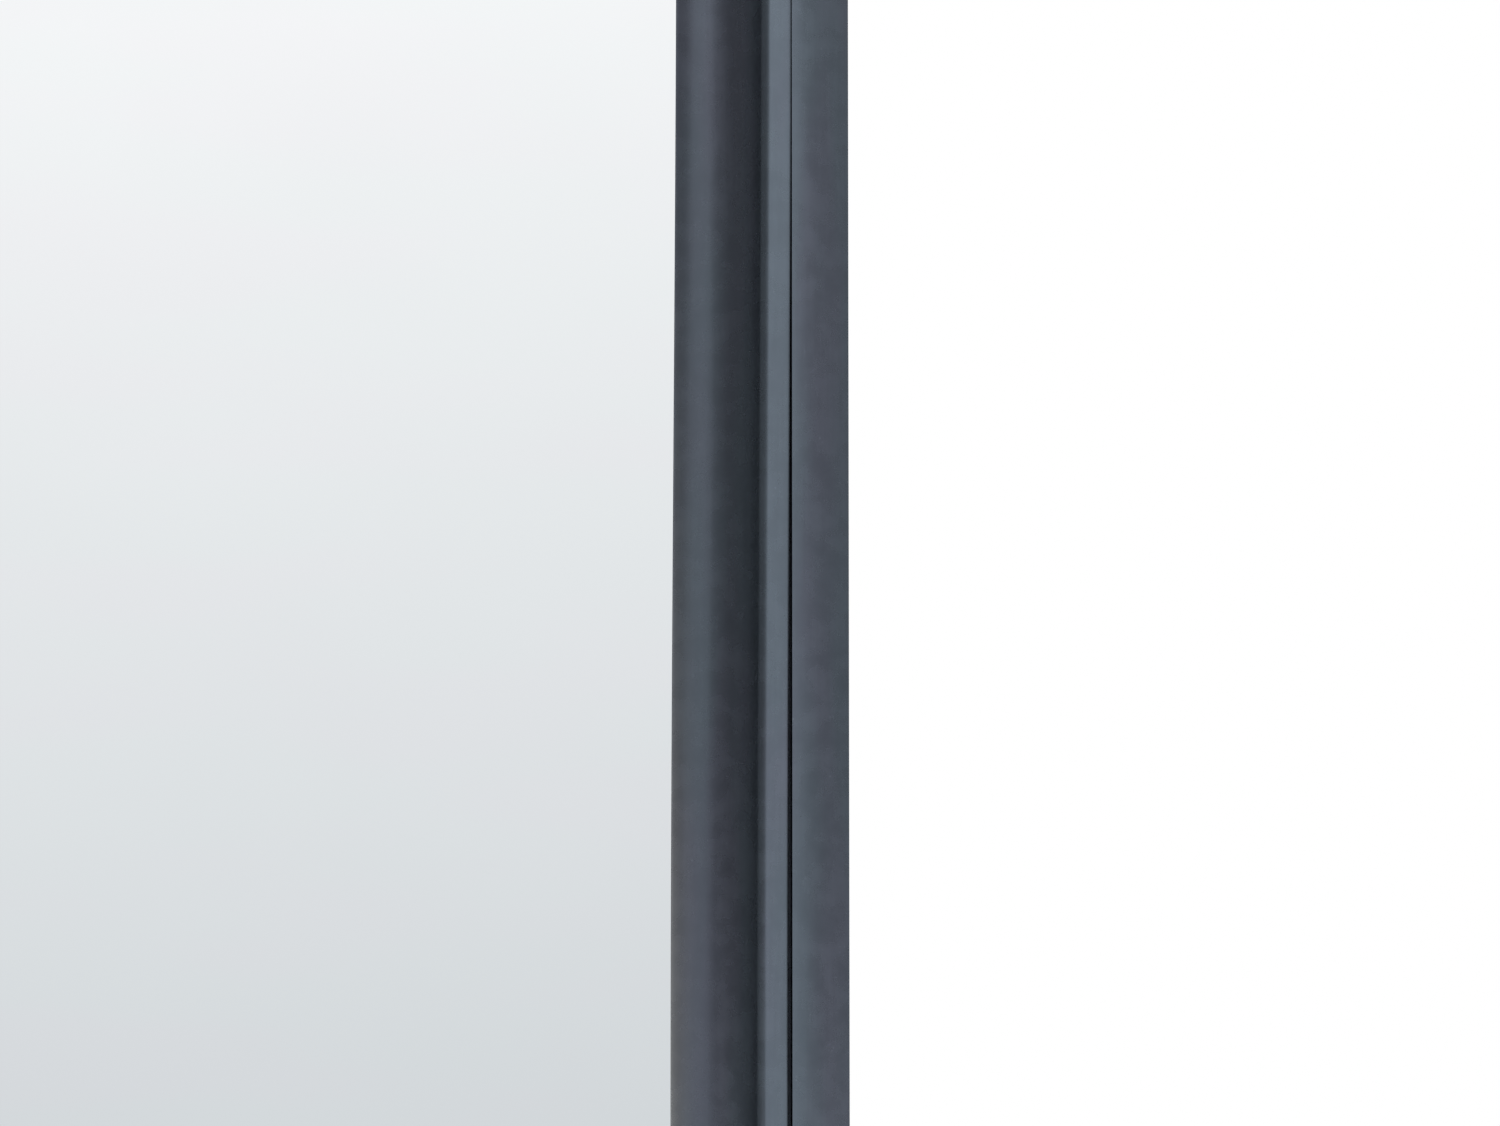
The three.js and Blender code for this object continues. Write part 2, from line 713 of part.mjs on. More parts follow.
// A slide bracket: a long flat plate with a tall head at the post and a tab for the tie rail.
function slideBracket(tabSide) {
  const rear = -overallDepth / 2 + bracketInset;
  const front = overallDepth / 2 - bracketInset;
  const half = bracketHeight / 2;
  const head = headHeight / 2;
  const tabFrom = rear + tabInset;
  const outline = [
    [rear, -half],
    [front - headLength, -half],
    [front - headLength, -head],
    [front, -head],
    [front, head],
    [front - headLength, head],
    [front - headLength, half],
    [tabFrom + tabLength, half],
    [tabFrom + tabLength, tabReach],
    [tabFrom, tabReach],
    [tabFrom, half],
    [rear, half],
  ].map(([x, z]) => [x, tabSide * z]);
  const shape = roundedOutline(outline, bracketCorner);
  const radius = screwRadius + holeClearance;
  slideScrewShares.forEach((share) => roundHole(shape, (share * slideLength) / 2, 0, radius));
  [-1, 1].forEach((end) => {
    roundHole(shape, postScrewX, end * postScrewRise, radius);
    roundHole(shape, tieX + (end * tieScrewSpacing) / 2, tabSide * tieScrewRise, radius);
  });
  return plate(shape, bracketThickness).translate(0, -bracketFace, 0);
}
const postScrewX = overallDepth / 2 - postWidth / 2;
const tieX = -overallDepth / 2 + bracketInset + tabInset + tabLength / 2;

// The tie rail that joins the two brackets behind the leaf.
function tieRail() {
  const half = railWidth / 2 - railSheet / 2;
  const web = -bracketFace + seatGap + railSheet / 2;
  const line = new THREE.Path();
  line.moveTo(web, 0);
  line.lineTo(web, half - railBend);
  line.absarc(web + railBend, half - railBend, railBend, Math.PI, Math.PI / 2, true);
  line.lineTo(web - railSheet / 2 + railDepth, half);
  const length = slideSpacing - slideHeight - 2 * railGap;
  const turn = new THREE.Matrix4().makeBasis(
    new THREE.Vector3(0, 1, 0),
    new THREE.Vector3(1, 0, 0),
    new THREE.Vector3(0, 0, -1),
  );
  const body = extrude(formedSheet(line, railSheet), length)
    .translate(0, 0, -length / 2)
    .applyMatrix4(turn)
    .translate(tieX, 0, slideSpacing / 2);
  const holes = [0, 1].flatMap((slide) =>
    [-1, 1].map((end) =>
      borer(
        screwRadius + holeClearance,
        railSheet + 2 * overrun,
        [
          tieX + (end * tieScrewSpacing) / 2,
          web,
          slide * slideSpacing + (slide ? -1 : 1) * tieScrewRise,
        ],
        "y",
      ),
    ),
  );
  return cut(body, ...holes);
}

// The steel disc on the leaf that the magnet holds, with a sunk hole for its screw.
function strikePlate() {
  const disc = new THREE.CylinderGeometry(strikeRadius, strikeRadius, strikeThickness, roundSteps);
  const hole = borer(screwRadius + holeClearance, strikeThickness + 2 * overrun, [0, 0, 0], "y");
  const top = [0, strikeThickness / 2, 0];
  const sink = borer(strikeHeadRadius + holeClearance, 2 * strikeHeadHeight, top, "y");
  return cut(disc, hole, sink);
}

function catchMagnet() {
  return turned([
    [0, 0],
    [magnetRadius, 0],
    [magnetRadius, magnetThickness - arris],
    [magnetRadius - arris, magnetThickness],
    [0, magnetThickness],
  ]);
}

function add(group, name, geometry, material, place = [0, 0, 0], turn = [0, 0, 0]) {
  const mesh = new THREE.Mesh(geometry, material);
  mesh.name = name;
  mesh.position.set(...place);
  mesh.rotation.set(...turn);
  group.add(mesh);
  return mesh;
}

// One slide with what is screwed to it; tabSide says which way its tie tab points.
function addSlide(parent, name, height, tabSide) {
  const slide = new THREE.Group();
  slide.position.z = height;
  parent.add(slide);
  const moving = [movingMiddle, 0, 0];
  add(slide, `${name}_outer_member`, outerMember(), zinc);
  const bumperX = -slideLength / 2 + bumperLength / 2;
  add(slide, `${name}_rear_bumper`, rearBumper(), rubber, [bumperX, 0, 0]);
  add(slide, `${name}_outer_ball_cage`, ballCage(outerCageWeb, outerBallY, outerBallZ), polished);
  add(slide, `${name}_middle_member`, middleMember(), zinc, moving);
  add(slide, `${name}_inner_ball_cage`, ballCage(innerCageWeb, innerBallY, innerBallZ), polished);
  add(slide, `${name}_inner_member`, innerMember(), zinc, moving);
  add(slide, `${name}_slide_bracket`, slideBracket(tabSide), darkSteel);
  const face = -bracketFace - bracketThickness - seatGap;
  const forward = [Math.PI, 0, 0];
  slideScrewShares.forEach((share, i) => {
    const place = [(share * slideLength) / 2, face, 0];
    add(slide, `${name}_slide_screw_${i + 1}`, panScrew(shortScrew), zinc, place, forward);
  });
  [-1, 1].forEach((end, i) => {
    const tiePlace = [tieX + (end * tieScrewSpacing) / 2, face, tabSide * tieScrewRise];
    add(slide, `${name}_tie_screw_${i + 1}`, panScrew(shortScrew), zinc, tiePlace, forward);
    const postPlace = [postScrewX, -bracketFace + seatGap, end * postScrewRise];
    add(slide, `${name}_post_screw_${i + 1}`, panScrew(shortScrew), zinc, postPlace);
  });
  add(slide, `${name}_catch_magnet`, catchMagnet(), darkSteel, [catchX, face, 0], forward);
}

// The mirror leaf's frame, with the cleats in its corners.
function addFrame(leaf) {
  add(leaf, "right_stile", frameBar(halfWidth, halfHeight), slate);
  add(leaf, "left_stile", strikeStile(), slate, [0, 0, 0], [0, Math.PI, 0]);
  add(leaf, "top_rail", pivotRail(1), slate, [0, 0, 0], [0, -Math.PI / 2, 0]);
  add(leaf, "bottom_rail", pivotRail(-1), slate, [0, 0, 0], [0, Math.PI / 2, 0]);
  [["top", 1], ["bottom", -1]].forEach(([height, sideZ]) =>
    [["left", -1], ["right", 1]].forEach(([hand, sideX]) =>
      add(leaf, `${height}_${hand}_corner_cleat`, cornerCleat(sideX, sideZ), castZinc),
    ),
  );
}

// The free stile, with a screw hole behind each strike plate.
function strikeStile() {
  const holes = [-1, 1].map((slide) =>
    borer(
      screwRadius + holeClearance,
      frameWall + 2 * overrun,
      [leafCentreX - catchX, leafDepth - frameWall / 2, (slide * slideSpacing) / 2],
      "y",
    ),
  );
  return cut(frameBar(halfWidth, halfHeight), ...holes);
}

function addPanes(leaf) {
  add(leaf, "mirror_glass", pane(glassThickness, glassFront), silvered);
  add(leaf, "backing_board", pane(boardThickness, boardFront), board);
  add(leaf, "glazing_seal", sealRing(), rubber);
}

// The strike plates on the back of the free stile, level with the slides.
function addStrikes(leaf) {
  [["lower", -1], ["upper", 1]].forEach(([name, slide]) => {
    const x = catchX - leafCentreX;
    const z = (slide * slideSpacing) / 2;
    const middle = leafDepth + seatGap + strikeThickness / 2;
    add(leaf, `${name}_strike_plate`, strikePlate(), zinc, [x, middle, z]);
    const screw = flatScrew(strikeScrew, strikeHeadRadius, strikeHeadHeight - seatGap);
    add(leaf, `${name}_strike_screw`, screw, zinc, [x, leafDepth + seatGap + strikeThickness, z]);
  });
}

// Both pivots: leaf plates and bushings on the leaf, brackets and pins on the post.
function addPivots(leaf, carrier) {
  [["top", 1], ["bottom", -1]].forEach(([name, side]) => {
    const outward = [(side * Math.PI) / 2, 0, 0];
    const at = (x, w, from) => [x, w, side * (halfHeight + from)];
    add(leaf, `${name}_pivot_plate`, pivotPlate(side), darkSteel);
    add(leaf, `${name}_pivot_bushing`, pivotBushing(), nylon, at(axisX, -axisProud, seatGap), outward);
    plateScrewPlaces.forEach((place, i) => {
      const screw = flatScrew(longScrew, screwHeadRadius, flushHeadHeight - seatGap);
      const seat = at(halfWidth - place, plateMiddle, seatGap + plateThickness);
      add(leaf, `${name}_plate_screw_${i + 1}`, screw, zinc, seat, outward);
    });
    add(carrier, `${name}_pivot_bracket`, pivotBracket(side), darkSteel);
    const pinSeat = at(axisX, -axisProud, earLevel + bracketEar);
    add(carrier, `${name}_pivot_pin`, pivotPin(), polished, pinSeat, outward);
    const screwSeat = at(...portPlace, earLevel + bracketEar - screwHeadHeight + seatGap);
    add(carrier, `${name}_bracket_screw`, panScrew(longScrew), zinc, screwSeat, outward);
  });
}

const mirror = new THREE.Group();
addSlide(mirror, "lower", 0, 1);
addSlide(mirror, "upper", slideSpacing, -1);
add(mirror, "tie_rail", tieRail(), darkSteel);

const carrier = new THREE.Group();
carrier.position.set(leafCentreX, frontY, leafCentreZ);
mirror.add(carrier);
add(carrier, "carrier_post", carrierPost(), slate);

const leaf = new THREE.Group();
leaf.position.copy(carrier.position);
mirror.add(leaf);
addFrame(leaf);
addPanes(leaf);
addStrikes(leaf);
addPivots(leaf, carrier);

export default mirror;
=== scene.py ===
"""Looks of a pull-out closet mirror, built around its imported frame.

Lengths are metres and angles degrees. +X is the way the mirror pulls out, the mirror faces -Y and
+Z is up. The closet's side panel is the plane y = 0.
"""
import json
import logging
import math
from dataclasses import dataclass, field, replace
from enum import Enum
from functools import partial
from typing import Callable, Iterable, Optional, Sequence

import bmesh
import bpy
from mathutils import Matrix, Vector

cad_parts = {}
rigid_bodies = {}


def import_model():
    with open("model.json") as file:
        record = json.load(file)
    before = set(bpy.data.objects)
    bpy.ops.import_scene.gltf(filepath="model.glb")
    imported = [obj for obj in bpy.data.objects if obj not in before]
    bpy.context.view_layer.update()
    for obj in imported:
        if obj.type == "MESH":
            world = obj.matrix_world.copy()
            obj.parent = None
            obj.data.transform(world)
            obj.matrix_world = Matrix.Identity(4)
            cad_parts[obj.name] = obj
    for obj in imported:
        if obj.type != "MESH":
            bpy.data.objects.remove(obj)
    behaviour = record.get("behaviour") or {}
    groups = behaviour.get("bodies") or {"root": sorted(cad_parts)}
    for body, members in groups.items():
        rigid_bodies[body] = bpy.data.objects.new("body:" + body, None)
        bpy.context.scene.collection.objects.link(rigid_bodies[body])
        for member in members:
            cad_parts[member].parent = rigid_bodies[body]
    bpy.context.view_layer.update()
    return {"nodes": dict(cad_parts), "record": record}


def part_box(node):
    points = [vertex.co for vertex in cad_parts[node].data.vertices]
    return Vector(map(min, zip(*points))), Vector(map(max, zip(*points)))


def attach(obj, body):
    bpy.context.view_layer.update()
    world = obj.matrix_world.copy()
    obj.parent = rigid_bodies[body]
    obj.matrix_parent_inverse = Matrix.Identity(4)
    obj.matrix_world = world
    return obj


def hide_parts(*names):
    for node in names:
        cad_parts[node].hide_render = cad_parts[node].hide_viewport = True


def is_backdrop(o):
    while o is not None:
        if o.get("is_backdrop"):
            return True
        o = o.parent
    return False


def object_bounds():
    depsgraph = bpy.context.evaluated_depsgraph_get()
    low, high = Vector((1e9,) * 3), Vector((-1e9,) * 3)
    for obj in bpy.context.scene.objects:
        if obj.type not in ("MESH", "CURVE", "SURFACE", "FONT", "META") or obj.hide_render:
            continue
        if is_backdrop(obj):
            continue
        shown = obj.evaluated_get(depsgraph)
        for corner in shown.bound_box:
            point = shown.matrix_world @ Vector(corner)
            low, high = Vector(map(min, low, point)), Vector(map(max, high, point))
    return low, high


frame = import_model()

log = logging.getLogger("closet_mirror")
Point = tuple[float, float]
Colour = tuple[float, float, float]
Place = tuple[float, float, float]


class Body(Enum):
    """The bodies that pieces ride on."""

    PANEL_SIDE = "panel_side"
    OUTER_CAGES = "outer_cages"
    MIDDLE_MEMBERS = "middle_members"
    INNER_CAGES = "inner_cages"
    CARRIAGE = "carriage"
    LEAF = "leaf"


class Axis(Enum):
    """The two directions that round holes run in."""

    Y = (0.0, 1.0, 0.0)
    Z = (0.0, 0.0, 1.0)

    @property
    def vector(self) -> Vector:
        """The direction as a vector."""
        return Vector(self.value)


# Materials: a scale is waves per metre, a rise a height and a reach a distance

NOISE_ROUGHNESS = 0.55
NOISE_RANGE = (0.3, 0.7)
BROAD_DETAIL = 3.0
BROAD_SHARE = 0.6
HUE_SCALE = 110.0
HUE_DETAIL = 1.0
HUE_RANGE = (0.35, 0.65)
SPECK_SCALE = 900.0
SPECK_PATCH_SCALE = 300.0
SPECK_PATCH_RANGE = (0.55, 0.75)
SPECK_RADII = (0.1, 0.28)
SPECK_GAIN = 2.2
# Painted shade in the hollows, from ambient occlusion
PAINTED_SHADE_REACH = 0.02
PAINTED_SHADE_SAMPLES = 12
PAINTED_SHADE_GAIN = 2.2
PAINTED_SHADE_BLACK = (0.0, 0.0, 0.0)
# Painted light: a paler band beside the glass, stronger low on the leaf; painted shade along the cove's
# bottom
PAINTED_EDGE_LIGHT = (0.42, 0.42, 0.41)
PAINTED_EDGE_LIGHT_REACH = 0.012
PAINTED_EDGE_LIGHT_FALL = 6.0
PAINTED_EDGE_LIGHT_RISE = (0.15, 0.42)
PAINTED_COVE_SHADE = 0.18
PAINTED_COVE_SHADE_REACH = (0.0015, 0.0055)


class Nodes:
    """A material's or world's node tree, with short calls to add and join nodes."""

    def __init__(self, tree: bpy.types.NodeTree) -> None:
        """Empty the tree.

        Args:
            tree: The node tree to fill.
        """
        self.tree = tree
        tree.nodes.clear()

    def add(self, kind: str, inputs: Optional[dict] = None, **settings: object) -> bpy.types.Node:
        """Add a node.

        Args:
            kind: The node's type name, such as ShaderNodeMath.
            inputs: Socket names or numbers, each with a plain value or an output to link.
            **settings: The node's own properties.

        Returns:
            The new node.
        """
        node = self.tree.nodes.new(kind)
        for key, value in settings.items():
            setattr(node, key, value)
        for key, value in (inputs or {}).items():
            if isinstance(value, bpy.types.NodeSocket):
                self.tree.links.new(value, node.inputs[key])
            else:
                node.inputs[key].default_value = value
        return node

    def number(self, operation: str, *values: object, clamp: bool = False) -> bpy.types.NodeSocket:
        """Work out a number.

        Args:
            operation: The math node's operation.
            *values: Its inputs, numbers or outputs.
            clamp: Whether the result is kept from 0 to 1.

        Returns:
            The output socket.
        """
        inputs = dict(enumerate(values))
        return self.add("ShaderNodeMath", inputs, operation=operation, use_clamp=clamp).outputs[0]

    def spread(self, value: object, reach: Point, to: Point = (0.0, 1.0)) -> bpy.types.NodeSocket:
        """Map a number from one range to another, eased at both ends.

        Args:
            value: The number to map.
            reach: The two ends of its range.
            to: The two ends of the result.

        Returns:
            The output socket.
        """
        inputs = dict(enumerate((value, *reach, *to)))
        return self.add("ShaderNodeMapRange", inputs, interpolation_type="SMOOTHSTEP").outputs[0]

    def noise(self, where: object, scale: float, detail: float = 2.0) -> bpy.types.NodeSocket:
        """Add a noise pattern.

        Args:
            where: The coordinates it is read at.
            scale: Its waves per metre.
            detail: How many finer layers it has.

        Returns:
            The pattern's number, about 0.5 on average.
        """
        inputs = {"Vector": where, "Scale": scale, "Detail": detail, "Roughness": NOISE_ROUGHNESS}
        return self.add("ShaderNodeTexNoise", inputs).outputs[0]

    def stretched(self, where: object, scale: Place, turn: Place = (0.0, 0.0, 0.0)) -> object:
        """Stretch and turn the coordinates of a pattern.

        Args:
            where: The coordinates.
            scale: How much closer the pattern lies along each axis.
            turn: Its turn about each axis, in degrees.

        Returns:
            The new coordinates.
        """
        rotation = tuple(math.radians(angle) for angle in turn)
        inputs = {"Vector": where, "Scale": scale, "Rotation": rotation}
        return self.add("ShaderNodeMapping", inputs).outputs[0]

    def mix(self, share: object, under: object, over: object, blend: str = "MIX") -> object:
        """Lay one colour over another.

        Args:
            share: How much of the upper colour there is.
            under: The lower colour, plain or an output.
            over: The upper colour, plain or an output.
            blend: How the two are blended.

        Returns:
            The blended colour.
        """
        under, over = ((*layer, 1.0) if isinstance(layer, tuple) else layer for layer in (under, over))
        inputs = {0: share, 6: under, 7: over}
        return self.add("ShaderNodeMix", inputs, data_type="RGBA", blend_type=blend).outputs[2]


def shade(colour: Colour, factor: float) -> Colour:
    """Make a colour lighter or darker.

    Args:
        colour: The colour.
        factor: What each channel is multiplied by.

    Returns:
        The new colour.
    """
    return tuple(min(1.0, channel * factor) for channel in colour)


@dataclass(frozen=True)
class Finish:
    """A surface finish: a base colour with mottling, fine grain and uneven gloss.

    The scales are waves per metre, so that the marks have their real size.
    """

    name: str
    slot: str
    colour: Colour
    roughness: float
    metallic: float = 0.0
    mottle: float = 0.08
    mottle_scale: float = 60.0
    grain: Place = (1.0, 1.0, 1.0)
    grain_turn: Place = (0.0, 0.0, 0.0)
    grain_scale: float = 1500.0
    grain_depth: float = 0.00001
    grain_strength: float = 0.2
    uneven_gloss: float = 0.05
    specks: float = 0.0
    # strength of the painted shade in the hollows
    hollow: float = 0.0
    hue: float = 0.0
    streak: Place = (1.0, 1.0, 0.12)
    # strength of the painted light beside the glass, which comes with painted shade along the cove's bottom
    painted_edge_light: float = 0.0

    def material(self) -> bpy.types.Material:
        """Find or make the material of this finish.

        Returns:
            The material, made once for all the pieces that share it.
        """
        known = bpy.data.materials.get(self.name)
        if known:
            return known
        made = bpy.data.materials.new(self.name)
        made.use_nodes = True
        made.diffuse_color = (*self.colour, 1.0)
        self.build(Nodes(made.node_tree))
        return made

    def build(self, nodes: Nodes) -> None:
        """Fill the material's node tree.

        Args:
            nodes: The tree.
        """
        place = nodes.add("ShaderNodeTexCoord").outputs["Object"]
        broad = nodes.noise(place, self.mottle_scale, BROAD_DETAIL)
        fine = nodes.noise(nodes.stretched(place, self.grain, self.grain_turn), self.grain_scale)
        part = nodes.number("MULTIPLY", fine, 1 - BROAD_SHARE)
        share = nodes.spread(nodes.number("MULTIPLY_ADD", broad, BROAD_SHARE, part), NOISE_RANGE)
        dark, pale = (shade(self.colour, 1 + sign * self.mottle) for sign in (-1, 1))
        colour = nodes.mix(share, dark, pale)
        # the hollow and cove marks paint shade into the colour, and the band beside the glass paints light
        marks = [
            (self.hue, self.drifting), (self.specks, self.speckled),
            (self.hollow, self.painted_hollow_shade), (self.painted_edge_light, self.dusted),
        ]
        for strength, mark in marks:
            colour = mark(nodes, place, colour) if strength else colour
        gloss = (self.roughness - self.uneven_gloss, self.roughness + self.uneven_gloss)
        bump = {"Strength": self.grain_strength, "Distance": self.grain_depth, "Height": fine}
        inputs = {
            "Base Color": colour,
            "Metallic": self.metallic,
            "Roughness": nodes.spread(broad, NOISE_RANGE, gloss),
            "Normal": nodes.add("ShaderNodeBump", bump).outputs[0],
        }
        shader = nodes.add("ShaderNodeBsdfPrincipled", inputs)
        nodes.add("ShaderNodeOutputMaterial", {"Surface": shader.outputs[0]})

    def drifting(self, nodes: Nodes, place: object, colour: object) -> object:
        """Let the hue drift between cooler and warmer streaks.

        Args:
            nodes: The tree.
            place: The coordinates.
            colour: The colour under it.

        Returns:
            The colour with it.
        """
        patches = nodes.noise(nodes.stretched(place, self.streak), HUE_SCALE, HUE_DETAIL)
        cool, warm = (1 - self.hue, 1.0, 1.0), (1.0, 1 - self.hue, 1.0)
        return nodes.mix(1.0, colour, nodes.mix(nodes.spread(patches, HUE_RANGE), warm, cool), "MULTIPLY")

    def speckled(self, nodes: Nodes, place: object, colour: object) -> object:
        """Scatter small pale specks, as of fine wear.

        Args:
            nodes: The tree.
            place: The coordinates.
            colour: The colour under it.

        Returns:
            The colour with it.
        """
        dots = nodes.add("ShaderNodeTexVoronoi", {"Vector": place, "Scale": SPECK_SCALE}).outputs[0]
        here = nodes.spread(nodes.noise(place, SPECK_PATCH_SCALE), SPECK_PATCH_RANGE)
        near = nodes.spread(dots, SPECK_RADII, (self.specks, 0.0))
        return nodes.mix(nodes.number("MULTIPLY", near, here), colour, shade(self.colour, SPECK_GAIN))

    def painted_hollow_shade(self, nodes: Nodes, place: object, colour: object) -> object:
        """Paint shade into the hollows: darken the colour where the piece's own surfaces close round it.

        Args:
            nodes: The tree.
            place: The coordinates.
            colour: The colour under it.

        Returns:
            The colour with it.
        """
        inputs = {"Distance": PAINTED_SHADE_REACH}
        # painted shade: ambient occlusion darkens the colour in the hollows
        node = nodes.add("ShaderNodeAmbientOcclusion", inputs, only_local=True, samples=PAINTED_SHADE_SAMPLES)
        closed = nodes.number("SUBTRACT", 1.0, node.outputs["AO"])
        share = nodes.number("MINIMUM", nodes.number("MULTIPLY", closed, PAINTED_SHADE_GAIN), self.hollow)
        return nodes.mix(share, colour, PAINTED_SHADE_BLACK)

    def dusted(self, nodes: Nodes, place: object, colour: object) -> object:
        """Paint shade along the cove's bottom, and paint light as a paler band beside the glass, stronger
        low on the leaf.

        Args:
            nodes: The tree.
            place: The coordinates.
            colour: The colour under it.

        Returns:
            The colour with it.
        """
        low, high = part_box("left_stile")[0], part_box("right_stile")[1]
        middle, half = (low + high) / 2, (high - low) / 2
        parts = nodes.add("ShaderNodeSeparateXYZ", {0: place}).outputs
        beyond = []
        for axis, centre, reach in (("X", middle.x, half.x), ("Z", middle.z, half.z)):
            off = nodes.number("ABSOLUTE", nodes.number("SUBTRACT", parts[axis], centre))
            beyond.append(nodes.number("SUBTRACT", off, reach - FrameSection.face_width))
        across = nodes.number("MAXIMUM", *beyond)
        off = nodes.number("ABSOLUTE", nodes.number("SUBTRACT", across, FrameSection.cove_low_inset))
        # painted shade: the colour is darkened along the cove's bottom
        colour = nodes.mix(nodes.spread(off, PAINTED_COVE_SHADE_REACH, (PAINTED_COVE_SHADE, 0.0)), colour, PAINTED_SHADE_BLACK)
        # painted light: a paler band beside the glass, stronger toward the bottom
        edge = nodes.number("DIVIDE", across, PAINTED_EDGE_LIGHT_REACH)
        near = nodes.number("POWER", nodes.number("SUBTRACT", 1.0, edge, clamp=True), PAINTED_EDGE_LIGHT_FALL)
        edge_light_share = nodes.spread(parts["Z"], PAINTED_EDGE_LIGHT_RISE, (self.painted_edge_light, 0.0))
        return nodes.mix(nodes.number("MULTIPLY", near, edge_light_share), colour, PAINTED_EDGE_LIGHT)


# Modelling

SEED = 0.001
WELD = 0.0000005
SHARP_ANGLE = 32.0
SMOOTH_ANGLE = 40.0
CORNER_STEPS = 6


@dataclass(frozen=True)
class Arc:
    """A round stretch of an outline: it turns about a centre, anticlockwise in degrees."""

    centre: Point
    turn: float
    steps: int = 6


Stroke = Point | Arc


class Bench:
    """The moves that pieces are modelled with."""

    @staticmethod
    def begin(name: str) -> bpy.types.Object:
        """Start an empty piece, in edit mode.

        Args:
            name: The piece's name.

        Returns:
            The piece.
        """
        bpy.ops.object.select_all(action="DESELECT")
        bpy.ops.mesh.primitive_plane_add(size=SEED)
        piece = bpy.context.object
        piece.name = name
        piece.data.name = name
        bpy.ops.object.mode_set(mode="EDIT")
        bpy.ops.mesh.delete(type="VERT")
        return piece

    @staticmethod
    def draw(outline: Sequence[Stroke], closed: bool = True) -> None:
        """Draw an outline in the XY plane of the piece in edit mode, and leave it selected.

        Args:
            outline: Its first point, the points that straight stretches run to, and the arcs.
            closed: Whether a last straight stretch runs back to the start.
        """
        start, *strokes = outline
        bpy.ops.mesh.primitive_plane_add(size=SEED)
        bpy.ops.mesh.merge(type="CENTER")
        bpy.ops.transform.translate(value=(*start, 0))
        here = Vector(start)
        for stroke in strokes:
            if isinstance(stroke, Arc):
                angle = math.radians(stroke.turn)
                centre = Vector(stroke.centre)
                bpy.ops.mesh.spin(steps=stroke.steps, angle=-angle, center=(*centre, 0), axis=(0, 0, 1))
                here = centre + Matrix.Rotation(angle, 2) @ (here - centre)
            else:
                step = Vector(stroke) - here
                bpy.ops.mesh.extrude_vertices_move(TRANSFORM_OT_translate={"value": (*step, 0)})
                here = Vector(stroke)
        bpy.ops.mesh.select_linked()
        if closed:
            bpy.ops.mesh.remove_doubles(threshold=WELD)
            Bench.close_gap(Vector(start), here)

    @staticmethod
    def close_gap(start: Vector, end: Vector) -> None:
        """Join the two ends of the outline that is selected, if they lie apart.

        Args:
            start: The place of one end.
            end: The place of the other.
        """
        if (end - start).length <= WELD:
            return
        Bench.select_points(lambda place: min((place.xy - start).length, (place.xy - end).length) < WELD)
        bpy.ops.mesh.edge_face_add()
        bpy.ops.mesh.select_linked()

    @staticmethod
    def select_points(wanted: Callable[[Vector], bool]) -> None:
        """Select points of the piece in edit mode by their place, and nothing else.

        Args:
            wanted: Whether a place counts.
        """
        mesh = bmesh.from_edit_mesh(bpy.context.edit_object.data)
        bpy.ops.mesh.select_all(action="DESELECT")
        for vertex in mesh.verts:
            vertex.select = wanted(vertex.co)
        mesh.select_flush(True)
        bmesh.update_edit_mesh(bpy.context.edit_object.data)

    @staticmethod
    def run(steps: Iterable[Place]) -> None:
        """Extrude what is selected, one step after another.

        Args:
            steps: How far each step goes.
        """
        for step in steps:
            bpy.ops.mesh.extrude_region_move(TRANSFORM_OT_translate={"value": step})

    @staticmethod
    def trim(place: Place, outward: Place) -> None:
        """Cut the piece in edit mode with a plane and close the cut.

        Args:
            place: A point of the plane.
            outward: The side that is cut off.
        """
        bpy.ops.mesh.select_all(action="SELECT")
        bpy.ops.mesh.bisect(plane_co=place, plane_no=outward, use_fill=True, clear_outer=True)

    @staticmethod
    def end() -> bpy.types.Object:
        """Merge doubled points, turn the faces outward and leave edit mode.

        Returns:
            The piece.
        """
        bpy.ops.mesh.select_all(action="SELECT")
        bpy.ops.mesh.remove_doubles(threshold=WELD)
        bpy.ops.mesh.normals_make_consistent(inside=False)
        bpy.ops.object.mode_set(mode="OBJECT")
        return bpy.context.object

    @staticmethod
    def place(piece: bpy.types.Object, move: Place, turn: Place = (0.0, 0.0, 0.0)) -> bpy.types.Object:
        """Turn a piece about the origin, move it, and put its place in its mesh.

        Args:
            piece: The piece.
            move: How far it moves.
            turn: Its turn about X, Y and Z, in degrees.

        Returns:
            The piece.
        """
        Bench.pick(piece)
        piece.rotation_euler = tuple(math.radians(angle) for angle in turn)
        piece.location = move
        bpy.ops.object.transform_apply(location=True, rotation=True, scale=True)
        return piece

    @staticmethod
    def pick(piece: bpy.types.Object) -> None:
        """Select a piece, and nothing else.

        Args:
            piece: The piece.
        """
        bpy.ops.object.select_all(action="DESELECT")
        piece.select_set(True)
        bpy.context.view_layer.objects.active = piece

    @staticmethod
    def apply(piece: bpy.types.Object, kind: str, **settings: object) -> bpy.types.Object:
        """Add a modifier and apply it.

        Args:
            piece: The piece.
            kind: The modifier's type.
            **settings: Its settings.

        Returns:
            The piece.
        """
        Bench.pick(piece)
        modifier = piece.modifiers.new(kind, kind)
        for key, value in settings.items():
            setattr(modifier, key, value)
        bpy.ops.object.modifier_apply(modifier=modifier.name)
        return piece

